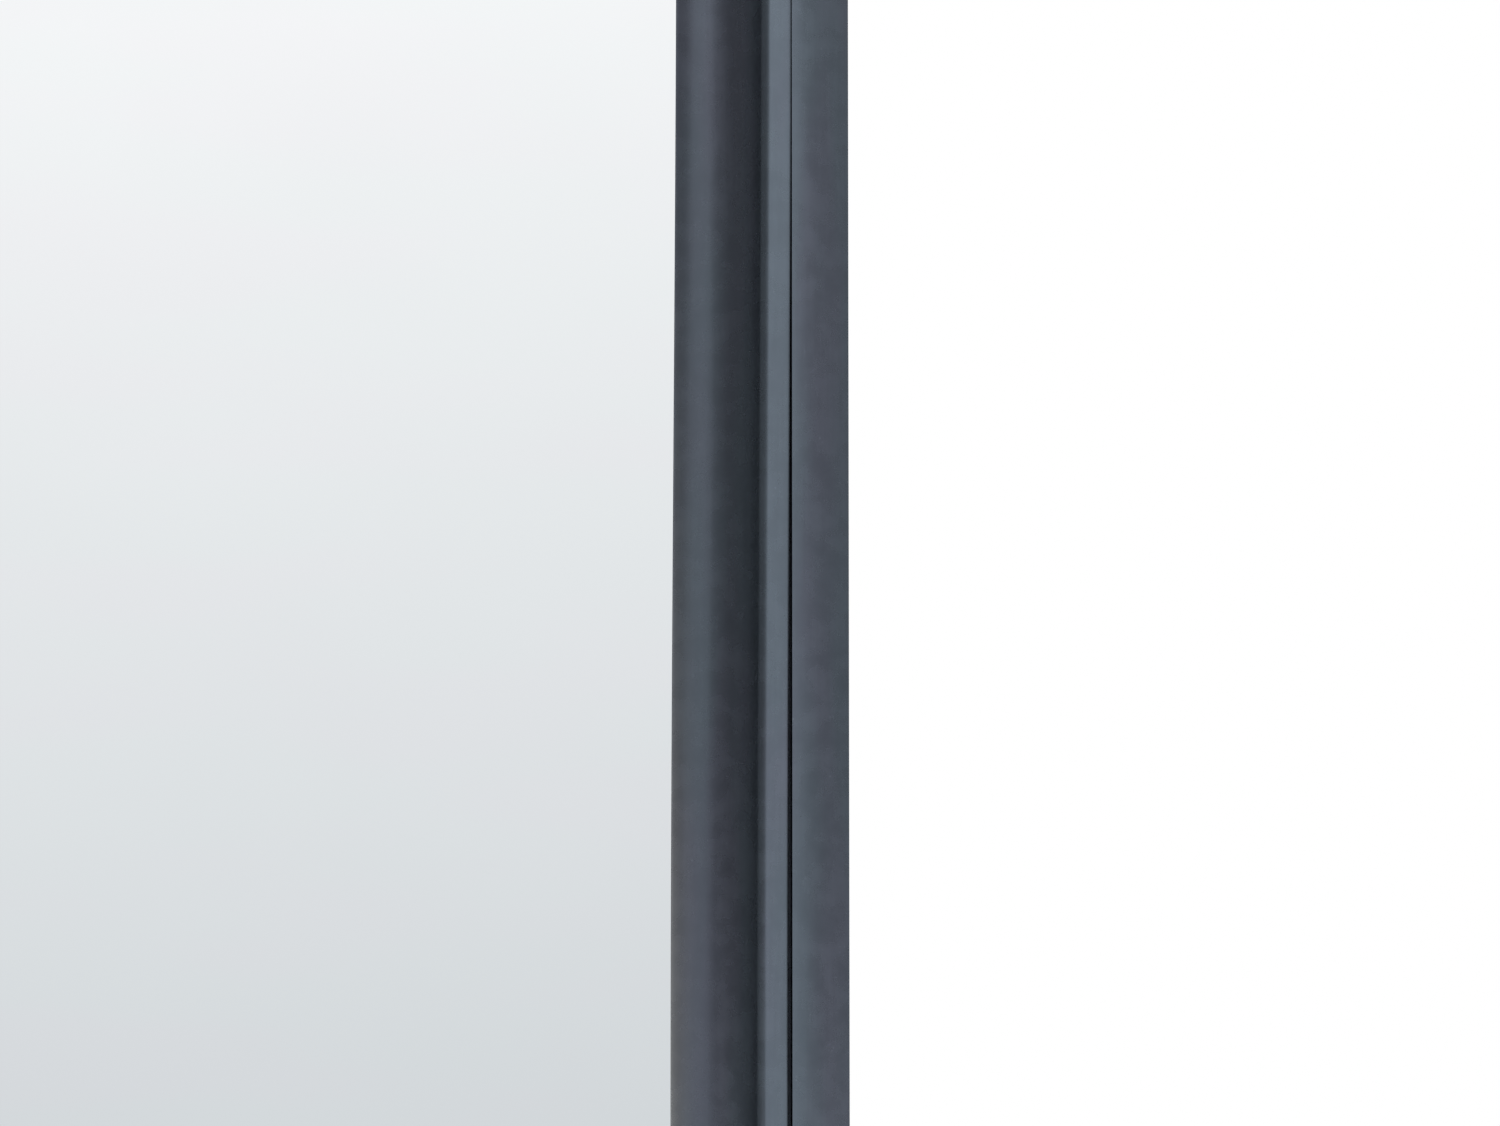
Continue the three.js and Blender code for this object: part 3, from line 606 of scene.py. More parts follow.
    @staticmethod
    def soften(
        piece: bpy.types.Object, width: float, segments: int = 3, clamped: bool = True
    ) -> bpy.types.Object:
        """Round a piece's sharp edges and shade it smooth.

        Args:
            piece: The piece.
            width: The width of the rounding.
            segments: How many faces it has across.
            clamped: Whether all of it narrows where a part would run into another edge.

        Returns:
            The piece.
        """
        Bench.apply(
            piece, "BEVEL", width=width, segments=segments, limit_method="ANGLE",
            angle_limit=math.radians(SHARP_ANGLE), use_clamp_overlap=clamped,
        )
        return Bench.smooth(piece)

    @staticmethod
    def smooth(piece: bpy.types.Object) -> bpy.types.Object:
        """Shade a piece smooth, with its flat faces kept flat.

        Args:
            piece: The piece.

        Returns:
            The piece.
        """
        Bench.pick(piece)
        bpy.ops.object.shade_smooth_by_angle(angle=math.radians(SMOOTH_ANGLE))
        return Bench.apply(piece, "WEIGHTED_NORMAL", keep_sharp=True)

    @staticmethod
    def cut(piece: bpy.types.Object, *tools: bpy.types.Object) -> bpy.types.Object:
        """Cut a piece with others, which are used up.

        Args:
            piece: The piece.
            *tools: What is cut away.

        Returns:
            The piece.
        """
        for tool in tools:
            Bench.apply(piece, "BOOLEAN", operation="DIFFERENCE", solver="EXACT", object=tool)
            bpy.data.meshes.remove(tool.data)
        return piece

    @staticmethod
    def merge(piece: bpy.types.Object, *others: bpy.types.Object) -> bpy.types.Object:
        """Make several overlapping solids one, without what lies inside it.

        Args:
            piece: The piece that stays.
            *others: The pieces that go into it.

        Returns:
            The piece.
        """
        for other in others:
            Bench.apply(piece, "BOOLEAN", operation="UNION", solver="EXACT", object=other)
            bpy.data.meshes.remove(other.data)
        return piece

    @staticmethod
    def join(piece: bpy.types.Object, *others: bpy.types.Object) -> bpy.types.Object:
        """Make several meshes one piece.

        Args:
            piece: The piece that stays.
            *others: The pieces that go into it.

        Returns:
            The piece.
        """
        Bench.pick(piece)
        for other in others:
            other.select_set(True)
        bpy.ops.object.join()
        return piece

    @staticmethod
    def copy(piece: bpy.types.Object, name: str) -> bpy.types.Object:
        """Copy a piece with a mesh of its own.

        Args:
            piece: The piece.
            name: The copy's name.

        Returns:
            The copy.
        """
        made = piece.copy()
        made.data = piece.data.copy()
        made.name = name
        made.data.name = name
        bpy.context.scene.collection.objects.link(made)
        return made


@dataclass(frozen=True)
class Bore:
    """A round cutter: its middle, radius, length and axis, and how many sides it has."""

    middle: Place
    radius: float
    length: float
    axis: Axis = Axis.Y
    sides: int = 40


def borers(bores: Iterable[Bore]) -> bpy.types.Object:
    """Model several round cutters as one mesh.

    Args:
        bores: The cutters, none of which touches another.

    Returns:
        The mesh.
    """
    tool = Bench.begin("borers")
    for bore in bores:
        turn = bore.axis.vector.to_track_quat("Z", "Y").to_euler()
        bpy.ops.mesh.primitive_cylinder_add(
            vertices=bore.sides, radius=bore.radius, depth=bore.length, location=bore.middle, rotation=turn
        )
    return Bench.end()


def turned(name: str, profile: Sequence[Stroke], sides: int) -> bpy.types.Object:
    """Turn a profile about the Z axis.

    Args:
        name: The piece's name.
        profile: The profile, as (radius, height).
        sides: How many faces it has round it.

    Returns:
        The piece.
    """
    Bench.begin(name)
    Bench.draw(profile, closed=profile[0][0] > WELD)
    bpy.ops.mesh.spin(steps=sides, angle=2 * math.pi, center=(0, 0, 0), axis=(0, 1, 0))
    return Bench.place(Bench.end(), (0, 0, 0), (90, 0, 0))


def rectangle(left: float, base: float, right: float, top: float) -> list[Point]:
    """List the corners of a rectangle.

    Args:
        left: Its least first coordinate.
        base: Its least second coordinate.
        right: Its greatest first coordinate.
        top: Its greatest second coordinate.

    Returns:
        The corners, anticlockwise.
    """
    return [(left, base), (right, base), (right, top), (left, top)]


def prism(
    name: str, outline: Sequence[Stroke], depth: float, corner: float = 0.0
) -> bpy.types.Object:
    """Extrude a closed outline upward from the XY plane.

    Args:
        name: The piece's name.
        outline: The outline.
        depth: How far it is extruded.
        corner: The radius that its corners are rounded to.

    Returns:
        The piece.
    """
    Bench.begin(name)
    Bench.draw(outline)
    bpy.ops.mesh.edge_face_add()
    if corner:
        bpy.ops.mesh.bevel(affect="VERTICES", offset=corner, segments=CORNER_STEPS)
        bpy.ops.mesh.select_all(action="SELECT")
    Bench.run([(0, 0, depth)])
    return Bench.end()


def plate(
    node: str, outline: Sequence[Stroke], corner: float = 0.0, name: str = "", spare: float = 0.0
) -> bpy.types.Object:
    """Make an upright plate, as thick as a node, from an outline in X and Z.

    Args:
        node: The node.
        outline: The outline.
        corner: The radius that its corners are rounded to.
        name: The piece's name, where it isn't that of the node's form.
        spare: How far the plate reaches past the node on either side.

    Returns:
        The piece.
    """
    low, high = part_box(node)
    piece = prism(name or f"{node}_form", outline, high.y - low.y + 2 * spare, corner)
    return Bench.place(piece, (0, high.y + spare, 0), (90, 0, 0))


def finished(piece: bpy.types.Object, finish: Finish, body: Body, node: str) -> None:
    """Dress a piece and set it in the frame in place of a node.

    Args:
        piece: The piece.
        finish: Its finish.
        body: The body that it rides on.
        node: The node of the frame that it stands for.
    """
    piece.data.materials.clear()
    piece.data.materials.append(finish.material())
    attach(piece, body.value)
    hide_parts(node)
    log.info("%s: %d faces, %s on %s", piece.name, len(piece.data.polygons), finish.name, body.value)



# Studio


@dataclass
class Studio:
    """Camera, surroundings and floor.

    The glossy room is given by level and direction: a rise is a direction's share upward, and a
    reach is a range of its share sideways or ahead.
    """

    lens: float = 87.1
    sensor: float = 36.0
    distance: float = 0.7415
    aim_x: float = 0.1577
    pitch: float = 3.4
    floor_drop: float = 0.1
    floor_reach: float = 3.0
    floor_low: Colour = (0.8, 0.8, 0.8)
    floor_high: Colour = (0.86, 0.86, 0.86)
    floor_scale: float = 6.0
    floor_roughness: float = 0.9
    floor_glow: float = 1.26
    floor_glow_share: float = 0.6
    sky_low: Colour = (0.678, 0.705, 0.727)
    sky_high: Colour = (0.944, 0.949, 0.959)
    sky_power: float = 1.15
    sky_rise: Point = (-0.1, 0.22)
    sky_lean: Point = (-0.25, 0.25)
    sky_lean_rise: Point = (0.022, -0.022)
    side_levels: Point = (0.18, 0.415)
    side_reach: Point = (-0.3, 0.7)
    left_lean: float = 0.35
    base_level: float = 0.44
    base_reach: Point = (0.25, 0.95)
    core_level: float = 0.56
    core_reach: Point = (0.86, 0.975)
    core_rise: Point = (-0.1, 0.2)
    core_power: Point = (0.7, 2.4)
    bounce: float = 1.0
    bounce_rise: Point = (-0.25, -0.095)
    overhead: float = 0.8
    overhead_rise: Point = (0.24, 0.5)
    plain_level: float = 0.75

    def build(self) -> None:
        """Make the camera, the surroundings and the floor."""
        self.camera()
        self.surroundings()
        self.floor()
        bpy.context.scene.view_settings.view_transform = "Standard"

    def camera(self) -> None:
        """Set the camera before the gap between the leaf and its post, tilted up a little."""
        low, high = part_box("carrier_post")
        target = Vector((self.aim_x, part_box("right_stile")[0].y, (low.z + high.z) / 2))
        pitch = math.radians(self.pitch)
        back = Vector((0, -math.cos(pitch), -math.sin(pitch)))
        bpy.ops.object.camera_add(location=target + self.distance * back)
        camera = bpy.context.object
        camera.data.lens = self.lens
        camera.data.sensor_width = self.sensor
        camera.rotation_euler = (math.pi / 2 + pitch, 0, 0)
        bpy.context.scene.camera = camera

    def surroundings(self) -> None:
        """Light the object plainly, show it on white, and let gloss mirror a soft pale room."""
        world = bpy.data.worlds.new("room")
        bpy.context.scene.world = world
        world.use_nodes = True
        nodes = Nodes(world.node_tree)
        way = nodes.add("ShaderNodeTexCoord").outputs["Generated"]
        parts = nodes.add("ShaderNodeSeparateXYZ", {0: way}).outputs
        colour, level = self.sky(nodes, parts["X"], parts["Z"]), self.level(nodes, way, parts["Z"])
        room = {"Color": colour, "Strength": level}
        white = {"Color": (1.0, 1.0, 1.0, 1.0)}
        glossy, plain, seen = (
            nodes.add("ShaderNodeBackground", inputs).outputs[0]
            for inputs in (room, {**white, "Strength": self.plain_level}, {**white, "Strength": 1.0})
        )
        ray = nodes.add("ShaderNodeLightPath").outputs
        lit = nodes.add("ShaderNodeMixShader", {0: ray["Is Glossy Ray"], 1: plain, 2: glossy}).outputs[0]
        direct = nodes.number("MAXIMUM", ray["Is Camera Ray"], ray["Is Transmission Ray"])
        both = nodes.add("ShaderNodeMixShader", {0: direct, 1: lit, 2: seen}).outputs[0]
        nodes.add("ShaderNodeOutputWorld", {"Surface": both})

    def sky(self, nodes: Nodes, side: object, rise: object) -> object:
        """Colour the room, darker below and a little lower on one side.

        Args:
            nodes: The world's tree.
            side: A direction's share along X.
            rise: Its share along Z.

        Returns:
            The colour.
        """
        low, high = self.sky_rise
        lean = nodes.spread(side, self.sky_lean, self.sky_lean_rise)
        above = nodes.number("SUBTRACT", nodes.number("ADD", rise, lean), low)
        share = nodes.number("POWER", nodes.number("DIVIDE", above, high - low, clamp=True), self.sky_power)
        return nodes.mix(share, self.sky_low, self.sky_high)

    def level(self, nodes: Nodes, way: object, rise: object) -> object:
        """Work out how light the room is: ahead, at each side, below and overhead.

        Args:
            nodes: The world's tree.
            way: The direction.
            rise: Its share along Z.

        Returns:
            The level.
        """
        flat = nodes.add("ShaderNodeVectorMath", {0: way, 1: (1, 1, 0)}, operation="MULTIPLY").outputs[0]
        flat = nodes.add("ShaderNodeVectorMath", {0: flat}, operation="NORMALIZE").outputs[0]
        flat = nodes.add("ShaderNodeSeparateXYZ", {0: flat}).outputs
        ahead = nodes.number("ABSOLUTE", flat["Y"])
        side = nodes.spread(flat["X"], self.side_reach, self.side_levels)
        near = nodes.number("MULTIPLY_ADD", nodes.number("MINIMUM", flat["X"], 0.0), self.left_lean, ahead)
        step = nodes.number("SUBTRACT", self.base_level, side)
        base = nodes.number("MULTIPLY_ADD", step, nodes.spread(near, self.base_reach), side)
        power = nodes.spread(rise, self.core_rise, self.core_power)
        core = nodes.number("POWER", nodes.spread(ahead, self.core_reach), power)
        core = nodes.number("MULTIPLY", core, self.core_level)
        bounce = nodes.spread(rise, self.bounce_rise, (self.bounce, 0.0))
        overhead = nodes.spread(rise, self.overhead_rise, (0.0, self.overhead))
        bands = nodes.number("ADD", 1.0, nodes.number("ADD", bounce, overhead))
        return nodes.number("MULTIPLY", nodes.number("MULTIPLY_ADD", core, bands, base), bands)

    def floor(self) -> None:
        """Lay a pale floor under the mirror that keeps its shadow."""
        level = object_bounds()[0].z - self.floor_drop
        bpy.ops.object.select_all(action="DESELECT")
        bpy.ops.mesh.primitive_plane_add(size=2 * self.floor_reach, location=(0, 0, level))
        floor = bpy.context.object
        floor.name = "floor"
        material = bpy.data.materials.new("pale_floor")
        material.use_nodes = True
        nodes = Nodes(material.node_tree)
        place = nodes.add("ShaderNodeTexCoord").outputs["Object"]
        colour = nodes.mix(nodes.noise(place, self.floor_scale), self.floor_low, self.floor_high)
        inputs = {"Base Color": colour, "Roughness": self.floor_roughness}
        shader = nodes.add("ShaderNodeBsdfPrincipled", inputs).outputs[0]
        glow = nodes.add("ShaderNodeEmission", {"Strength": self.floor_glow}).outputs[0]
        ray = nodes.add("ShaderNodeLightPath").outputs
        seen = nodes.number("MAXIMUM", ray["Is Camera Ray"], ray["Is Glossy Ray"])
        share = nodes.number("MULTIPLY", seen, self.floor_glow_share)
        both = nodes.add("ShaderNodeMixShader", {0: share, 1: shader, 2: glow}).outputs[0]
        nodes.add("ShaderNodeOutputMaterial", {"Surface": both})
        floor.data.materials.append(material)
        floor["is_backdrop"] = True


# Finishes of this mirror

# SLATE paints shade into its hollows and cove, and light beside the glass
SLATE = Finish(
    "satin_slate", "slate_frame", (0.149, 0.171, 0.206), 0.27, metallic=0.85, mottle=0.05,
    mottle_scale=180.0, grain=(1.0, 1.0, 0.04), grain_scale=1400.0, uneven_gloss=0.03, specks=0.22,
    hollow=0.52, hue=0.05, painted_edge_light=0.67,
)
SLATE_RAIL = replace(
    SLATE, name="satin_slate_rail", grain=(0.04, 1.0, 1.0), streak=(0.12, 1.0, 1.0)
)
MIRROR = Finish(
    "silvered_glass", "mirror", (0.955, 0.965, 0.965), 0.012, metallic=1.0, mottle=0.009,
    mottle_scale=9.0, grain=(0.3, 1.0, 1.0), grain_turn=(0.0, -14.0, 0.0), grain_scale=14.0,
    grain_strength=0.0, uneven_gloss=0.006, hue=0.007, streak=(0.12, 1.0, 0.5),
)
BOARD = Finish(
    "faced_hardboard", "backing_board", (0.032, 0.03, 0.028), 0.7, mottle=0.25, mottle_scale=420.0,
    grain_scale=2600.0, grain_depth=0.00006, grain_strength=0.6,
)
RUBBER = Finish("black_rubber", "black_rubber", (0.012, 0.012, 0.013), 0.75, mottle=0.15)
ZINC = Finish(
    "zinc_plate", "zinc_steel", (0.5, 0.51, 0.53), 0.3, metallic=1.0, mottle=0.05,
    mottle_scale=140.0, grain=(0.05, 1.0, 1.0), grain_scale=2600.0, uneven_gloss=0.05,
)
SCREW_STEEL = Finish(
    "screw_zinc", "screw_steel", (0.46, 0.47, 0.49), 0.32, metallic=1.0, mottle=0.12,
    mottle_scale=700.0, uneven_gloss=0.1,
)
POLISHED = Finish(
    "ground_steel", "polished_steel", (0.62, 0.63, 0.64), 0.16, metallic=1.0, mottle=0.05,
    mottle_scale=500.0, uneven_gloss=0.05,
)
POWDER = Finish(
    "powder_coat", "dark_steel", (0.06, 0.068, 0.08), 0.48, mottle=0.1, mottle_scale=240.0,
    grain_scale=1500.0, grain_depth=0.00005, grain_strength=0.5,
)
CAST = Finish(
    "die_cast", "cast_cleat", (0.3, 0.305, 0.31), 0.5, metallic=0.9, mottle=0.15,
    mottle_scale=300.0, grain_depth=0.00005, grain_strength=0.5,
)
NYLON = Finish("black_nylon", "black_nylon", (0.018, 0.018, 0.02), 0.45, mottle=0.12)


# Places

SLIDES = ("lower", "upper")


class Facing(Enum):
    """The way that a turned piece's top points, as the turn that brings it there from +Z."""

    FRONT = (90.0, 0.0, 0.0)
    REAR = (-90.0, 0.0, 0.0)
    UP = (0.0, 0.0, 0.0)
    DOWN = (180.0, 0.0, 0.0)


class End(Enum):
    """The leaf's two ends, each with the way that it faces."""

    TOP = Facing.UP
    BOTTOM = Facing.DOWN

    @property
    def label(self) -> str:
        """The word for it in the nodes' names."""
        return self.name.lower()

    @property
    def side(self) -> int:
        """1 at the top and -1 at the bottom."""
        return 1 if self is End.TOP else -1

    def outer(self, node: str) -> float:
        """Find the level of a node's outer side.

        Args:
            node: The node.

        Returns:
            The level of its top or bottom.
        """
        low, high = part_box(node)
        return high.z if self is End.TOP else low.z


def screw_pairs(*stems: str) -> list[str]:
    """Name the nodes of screws that come in pairs.

    Args:
        *stems: What their names start with, such as lower_tie.

    Returns:
        The nodes.
    """
    return [f"{stem}_screw_{i}" for stem in stems for i in (1, 2)]


def middle(node: str) -> Vector:
    """Find the middle of a node's box.

    Args:
        node: The node.

    Returns:
        The middle.
    """
    low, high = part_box(node)
    return (low + high) / 2


def stand(piece: bpy.types.Object, node: str, facing: Facing) -> bpy.types.Object:
    """Turn a piece that was modelled along Z, and set its top at the end of a node's box.

    Args:
        piece: The piece, with its top at the origin.
        node: The node that it stands for.
        facing: The way that its top points.

    Returns:
        The piece.
    """
    low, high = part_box(node)
    place = (low + high) / 2
    if facing is Facing.FRONT:
        place.y = low.y
    elif facing is Facing.REAR:
        place.y = high.y
    else:
        place.z = high.z if facing is Facing.UP else low.z
    return Bench.place(piece, place, facing.value)


def lathed(node: str, profile: Sequence[Stroke], sides: int, facing: Facing) -> bpy.types.Object:
    """Turn a profile and stand it in a node's place.

    Args:
        node: The node.
        profile: The profile, as (radius, height), with its top at height 0.
        sides: How many faces it has round it.
        facing: The way that its top points.

    Returns:
        The piece.
    """
    return stand(Bench.smooth(turned(f"{node}_form", profile, sides)), node, facing)


# Frame and leaf


@dataclass(frozen=True)
class FrameSection:
    """The section of the frame: u runs outward from the sight edge and w back from the front."""

    face_width: float = 0.024
    cove_radius: float = 0.0134
    cove_low_inset: float = 0.0054
    cove_flank: float = 66.0
    edge_radius: float = 0.0025
    crown_radius: float = 0.038
    lip_thickness: float = 0.0012
    wall: float = 0.0016
    groove_depth: float = 0.0064
    rear_flange: float = 0.0014
    rear_step: float = 0.002
    back: float = 0.02323289

    @property
    def peak(self) -> float:
        """How far the foremost line lies from the sight edge."""
        return self.cove_low_inset + (self.cove_radius + self.edge_radius) * math.sin(self.flank)

    @property
    def flank(self) -> float:
        """The cove's steepest angle, in radians."""
        return math.radians(self.cove_flank)

    @property
    def cove_centre(self) -> float:
        """The depth of the cove's centre."""
        return self.edge_radius - (self.cove_radius + self.edge_radius) * math.cos(self.flank)

    @property
    def groove_front(self) -> float:
        """The depth at which the glazing groove starts."""
        return self.cove_centre + self.cove_radius + self.lip_thickness

    def crown(self, u: float) -> float:
        """The depth of the crowned face.

        Args:
            u: The place across it.

        Returns:
            The depth behind the foremost line.
        """
        return self.crown_radius - math.sqrt(self.crown_radius**2 - (u - self.peak) ** 2)

    def draw(self, origin: float) -> None:
        """Draw the section's outline and its chamber, and select both.

        Args:
            origin: The place of the sight edge along X.
        """
        flange_back = self.back - self.rear_step
        groove_back = flange_back - self.rear_flange
        tip = 90 + math.degrees(math.asin(self.cove_low_inset / self.cove_radius))
        cove_end = 90 - self.cove_flank
        crown_turn = math.degrees(math.asin((self.face_width - self.peak) / self.crown_radius))
        tip_depth = self.cove_centre + math.sqrt(self.cove_radius**2 - self.cove_low_inset**2)
        outline: list[Stroke] = [
            (0, self.groove_front),
            (0, tip_depth),
            Arc((self.cove_low_inset, self.cove_centre), cove_end - tip, 26),
            Arc((self.peak, self.edge_radius), 90 - cove_end, 12),
            Arc((self.peak, self.crown_radius), crown_turn, 4),
            (self.face_width, self.back),
            (self.groove_depth, self.back),
            (self.groove_depth, flange_back),
            (0, flange_back),
            (0, groove_back),
            (self.groove_depth, groove_back),
            (self.groove_depth, self.groove_front),
        ]
        Bench.draw(shifted(outline, origin))
        inner = self.groove_depth + self.wall
        outer = self.face_width - self.wall
        arc = self.cove_radius + self.wall
        start = math.degrees(math.acos((inner - self.cove_low_inset) / arc))
        end = cove_end + math.degrees(math.asin(self.wall / 2 / arc))
        chamber: list[Stroke] = [
            (inner, self.back - self.wall),
            (inner, self.cove_centre + arc * math.sin(math.radians(start))),
            Arc((self.cove_low_inset, self.cove_centre), end - start, 12),
            (self.peak, self.wall),
            (outer, self.wall + self.crown(outer)),
            (outer, self.back - self.wall),
        ]
        Bench.draw(shifted(chamber, origin))
        bpy.ops.mesh.select_all(action="SELECT")


def shifted(strokes: Iterable[Stroke], across: float) -> list[Stroke]:
    """Move an outline's strokes along X.

    Args:
        strokes: The strokes.
        across: How far they move.

    Returns:
        The moved strokes.
    """
    return [
        Arc((stroke.centre[0] + across, stroke.centre[1]), stroke.turn, stroke.steps)
        if isinstance(stroke, Arc)
        else (stroke[0] + across, stroke[1])
        for stroke in strokes
    ]


@dataclass
class Leaf:
    """The mirror leaf's mitred frame, which goes round a pane, its board and its seal."""

    section: FrameSection = field(default_factory=FrameSection)
    mitre_gap: float = 0.00015
    edge_softness: float = 0.00035
    run_steps: int = 60
    bow_most: float = 0.00079
    bow_mean: float = 0.00036
    bow_swing: float = 0.00046
    bow_length: float = 0.52
    bow_shift: float = 0.03
    bow_fade: float = 0.25

    def __post_init__(self) -> None:
        """Take the leaf's box from the frame."""
        self.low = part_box("left_stile")[0]
        self.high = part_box("right_stile")[1]
        self.centre = (self.low + self.high) / 2
        self.front = self.low.y
        self.half_width = (self.high.x - self.low.x) / 2
        self.half_height = (self.high.z - self.low.z) / 2

    def sideways(self, z: float) -> float:
        """How far the right stile bows toward its post, which narrows the gap upward.

        Args:
            z: The height above the leaf's middle.

        Returns:
            The bow.
        """
        fade = min(1.0, (self.half_height - abs(z)) / self.bow_fade)
        wave = math.sin(2 * math.pi * (z - self.bow_shift) / self.bow_length)
        return fade * min(self.bow_most, self.bow_mean + self.bow_swing * wave)

    def bar(self, node: str, half_across: float, half_length: float) -> bpy.types.Object:
        """Model one mitred side, upright, with its outer side toward +X.

        The faces that close a stile's mitres can differ from run to run, so its rounding isn't
        clamped: a clamp would make its width differ with them.

        Args:
            node: The side's node.
            half_across: Half the leaf's size across the bar.
            half_length: Half the leaf's size along the bar.

        Returns:
            The bar, about the leaf's middle.
        """
        Bench.begin(f"{node}_bar")
        self.section.draw(half_across - self.section.face_width)
        step = 2 * half_length / self.run_steps
        levels = [-half_length + i * step for i in range(self.run_steps + 1)]
        bow = self.sideways if node == "right_stile" else lambda z: 0.0
        Bench.run((bow(high) - bow(low), 0, high - low) for low, high in zip(levels, levels[1:]))
        bpy.ops.mesh.select_all(action="SELECT")
        bpy.ops.transform.translate(value=(0, 0, -half_length))
        for side in (-1, 1):
            corner = (half_across, 0, side * (half_length - self.mitre_gap))
            Bench.trim(corner, (-1, 0, side))
        return Bench.soften(Bench.end(), self.edge_softness, clamped=not node.endswith("stile"))

    def build(self) -> None:
        """Model and dress the two stiles and the two rails."""
        across, up = self.half_width, self.half_height
        sides = [
            ("right_stile", across, up, 0.0, SLATE),
            ("left_stile", across, up, 180.0, SLATE),
            ("top_rail", up, across, -90.0, SLATE_RAIL),
            ("bottom_rail", up, across, 90.0, SLATE_RAIL),
        ]
        for node, half_across, half_length, turn, finish in sides:
            bar = self.bar(node, half_across, half_length)
            Bench.place(bar, (self.centre.x, self.front, self.centre.z), (0, turn, 0))
            finished(bar, finish, Body.LEAF, node)


def crowned(left: float, right: float) -> tuple[Point, Arc, float]:
    """Draw the crowned face of the post, which goes on with the leaf's crown.

    Args:
        left: Where the face starts along X.
        right: Where it ends.

    Returns:
        Its left end, its arc, and the depth of its right end.
    """
    section, radius = FrameSection(), FrameSection.crown_radius
    low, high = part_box("right_stile")
    centre = (high.x - section.face_width + section.peak, low.y + radius)
    start, end = (math.asin((x - centre[0]) / radius) for x in (left, right))
    depths = [centre[1] - radius * math.cos(angle) for angle in (start, end)]
    return (left, depths[0]), Arc(centre, math.degrees(end - start), 12), depths[1]


@dataclass
class Post:
    """The carrier post, a hollow bar with a web and a stop lip behind the leaf."""

    wall: float = 0.0018
    web: float = 0.0064
    port_radius: float = 0.0021
    softness: float = 0.0004
    stop_reach: float = 0.005
    stop_gap: float = 0.0006
    stop_thickness: float = 0.0016
    screw_hole: float = 0.0021
    end_trim: float = 0.000001

    def build(self) -> None:
        """Model and dress the post."""
        low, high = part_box("carrier_post")
        left = low.x + self.stop_reach
        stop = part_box("left_stile")[1].y + self.stop_gap
        corner, face, right_front = crowned(left, high.x)
        middle_x, middle_y = (left + high.x) / 2, (right_front + high.y) / 2
        Bench.begin("carrier_post_bar")
        Bench.draw([
            (left, high.y),
            (left, stop + self.stop_thickness),
            (low.x, stop + self.stop_thickness),
            (low.x, stop),
            (left, stop),
            corner,
            face,
            (high.x, high.y),
        ])
        for near, far in (
            (right_front + self.wall, middle_y - self.web / 2),
            (middle_y + self.web / 2, high.y - self.wall),
        ):
            Bench.draw(rectangle(left + self.wall, near, high.x - self.wall, far))
        Bench.draw([(middle_x + self.port_radius, middle_y), Arc((middle_x, middle_y), 360, 24)])
        bpy.ops.mesh.select_all(action="SELECT")
        Bench.run([(0, 0, high.z - low.z)])
        bpy.ops.mesh.select_all(action="SELECT")
        bpy.ops.transform.translate(value=(0, 0, low.z))
        Bench.trim((0, 0, low.z + self.end_trim), (0, 0, -1))
        Bench.trim((0, 0, high.z - self.end_trim), (0, 0, 1))
        post = Bench.end()
        screws = [middle(name) for name in screw_pairs(*(f"{slide}_post" for slide in SLIDES))]
        holes = borers(Bore((middle_x, high.y, at.z), self.screw_hole, 3 * self.wall) for at in screws)
        Bench.soften(Bench.cut(post, holes), self.softness)
        finished(post, SLATE, Body.CARRIAGE, "carrier_post")


# Slides and what they carry


def formed(
    name: str, line: Sequence[Stroke], thickness: float, length: float
) -> bpy.types.Object:
    """Form sheet metal along a line, alike on both sides of the X axis, and run it along Z.

    Args:
        name: The piece's name.
        line: The line, which starts on the X axis.
        thickness: The sheet's thickness, half on either side of the line.
        length: How long the piece is, centred on the origin.

    Returns:
        The piece.
    """
    Bench.begin(name)
    Bench.draw(line, closed=False)
    Bench.run([(0, 0, length)])
    piece = Bench.end()
    Bench.apply(piece, "MIRROR", use_axis=(False, True, False), merge_threshold=WELD)
    Bench.apply(piece, "SOLIDIFY", thickness=thickness, offset=0.0, use_even_offset=True)
    return Bench.place(piece, (0, 0, -length / 2))


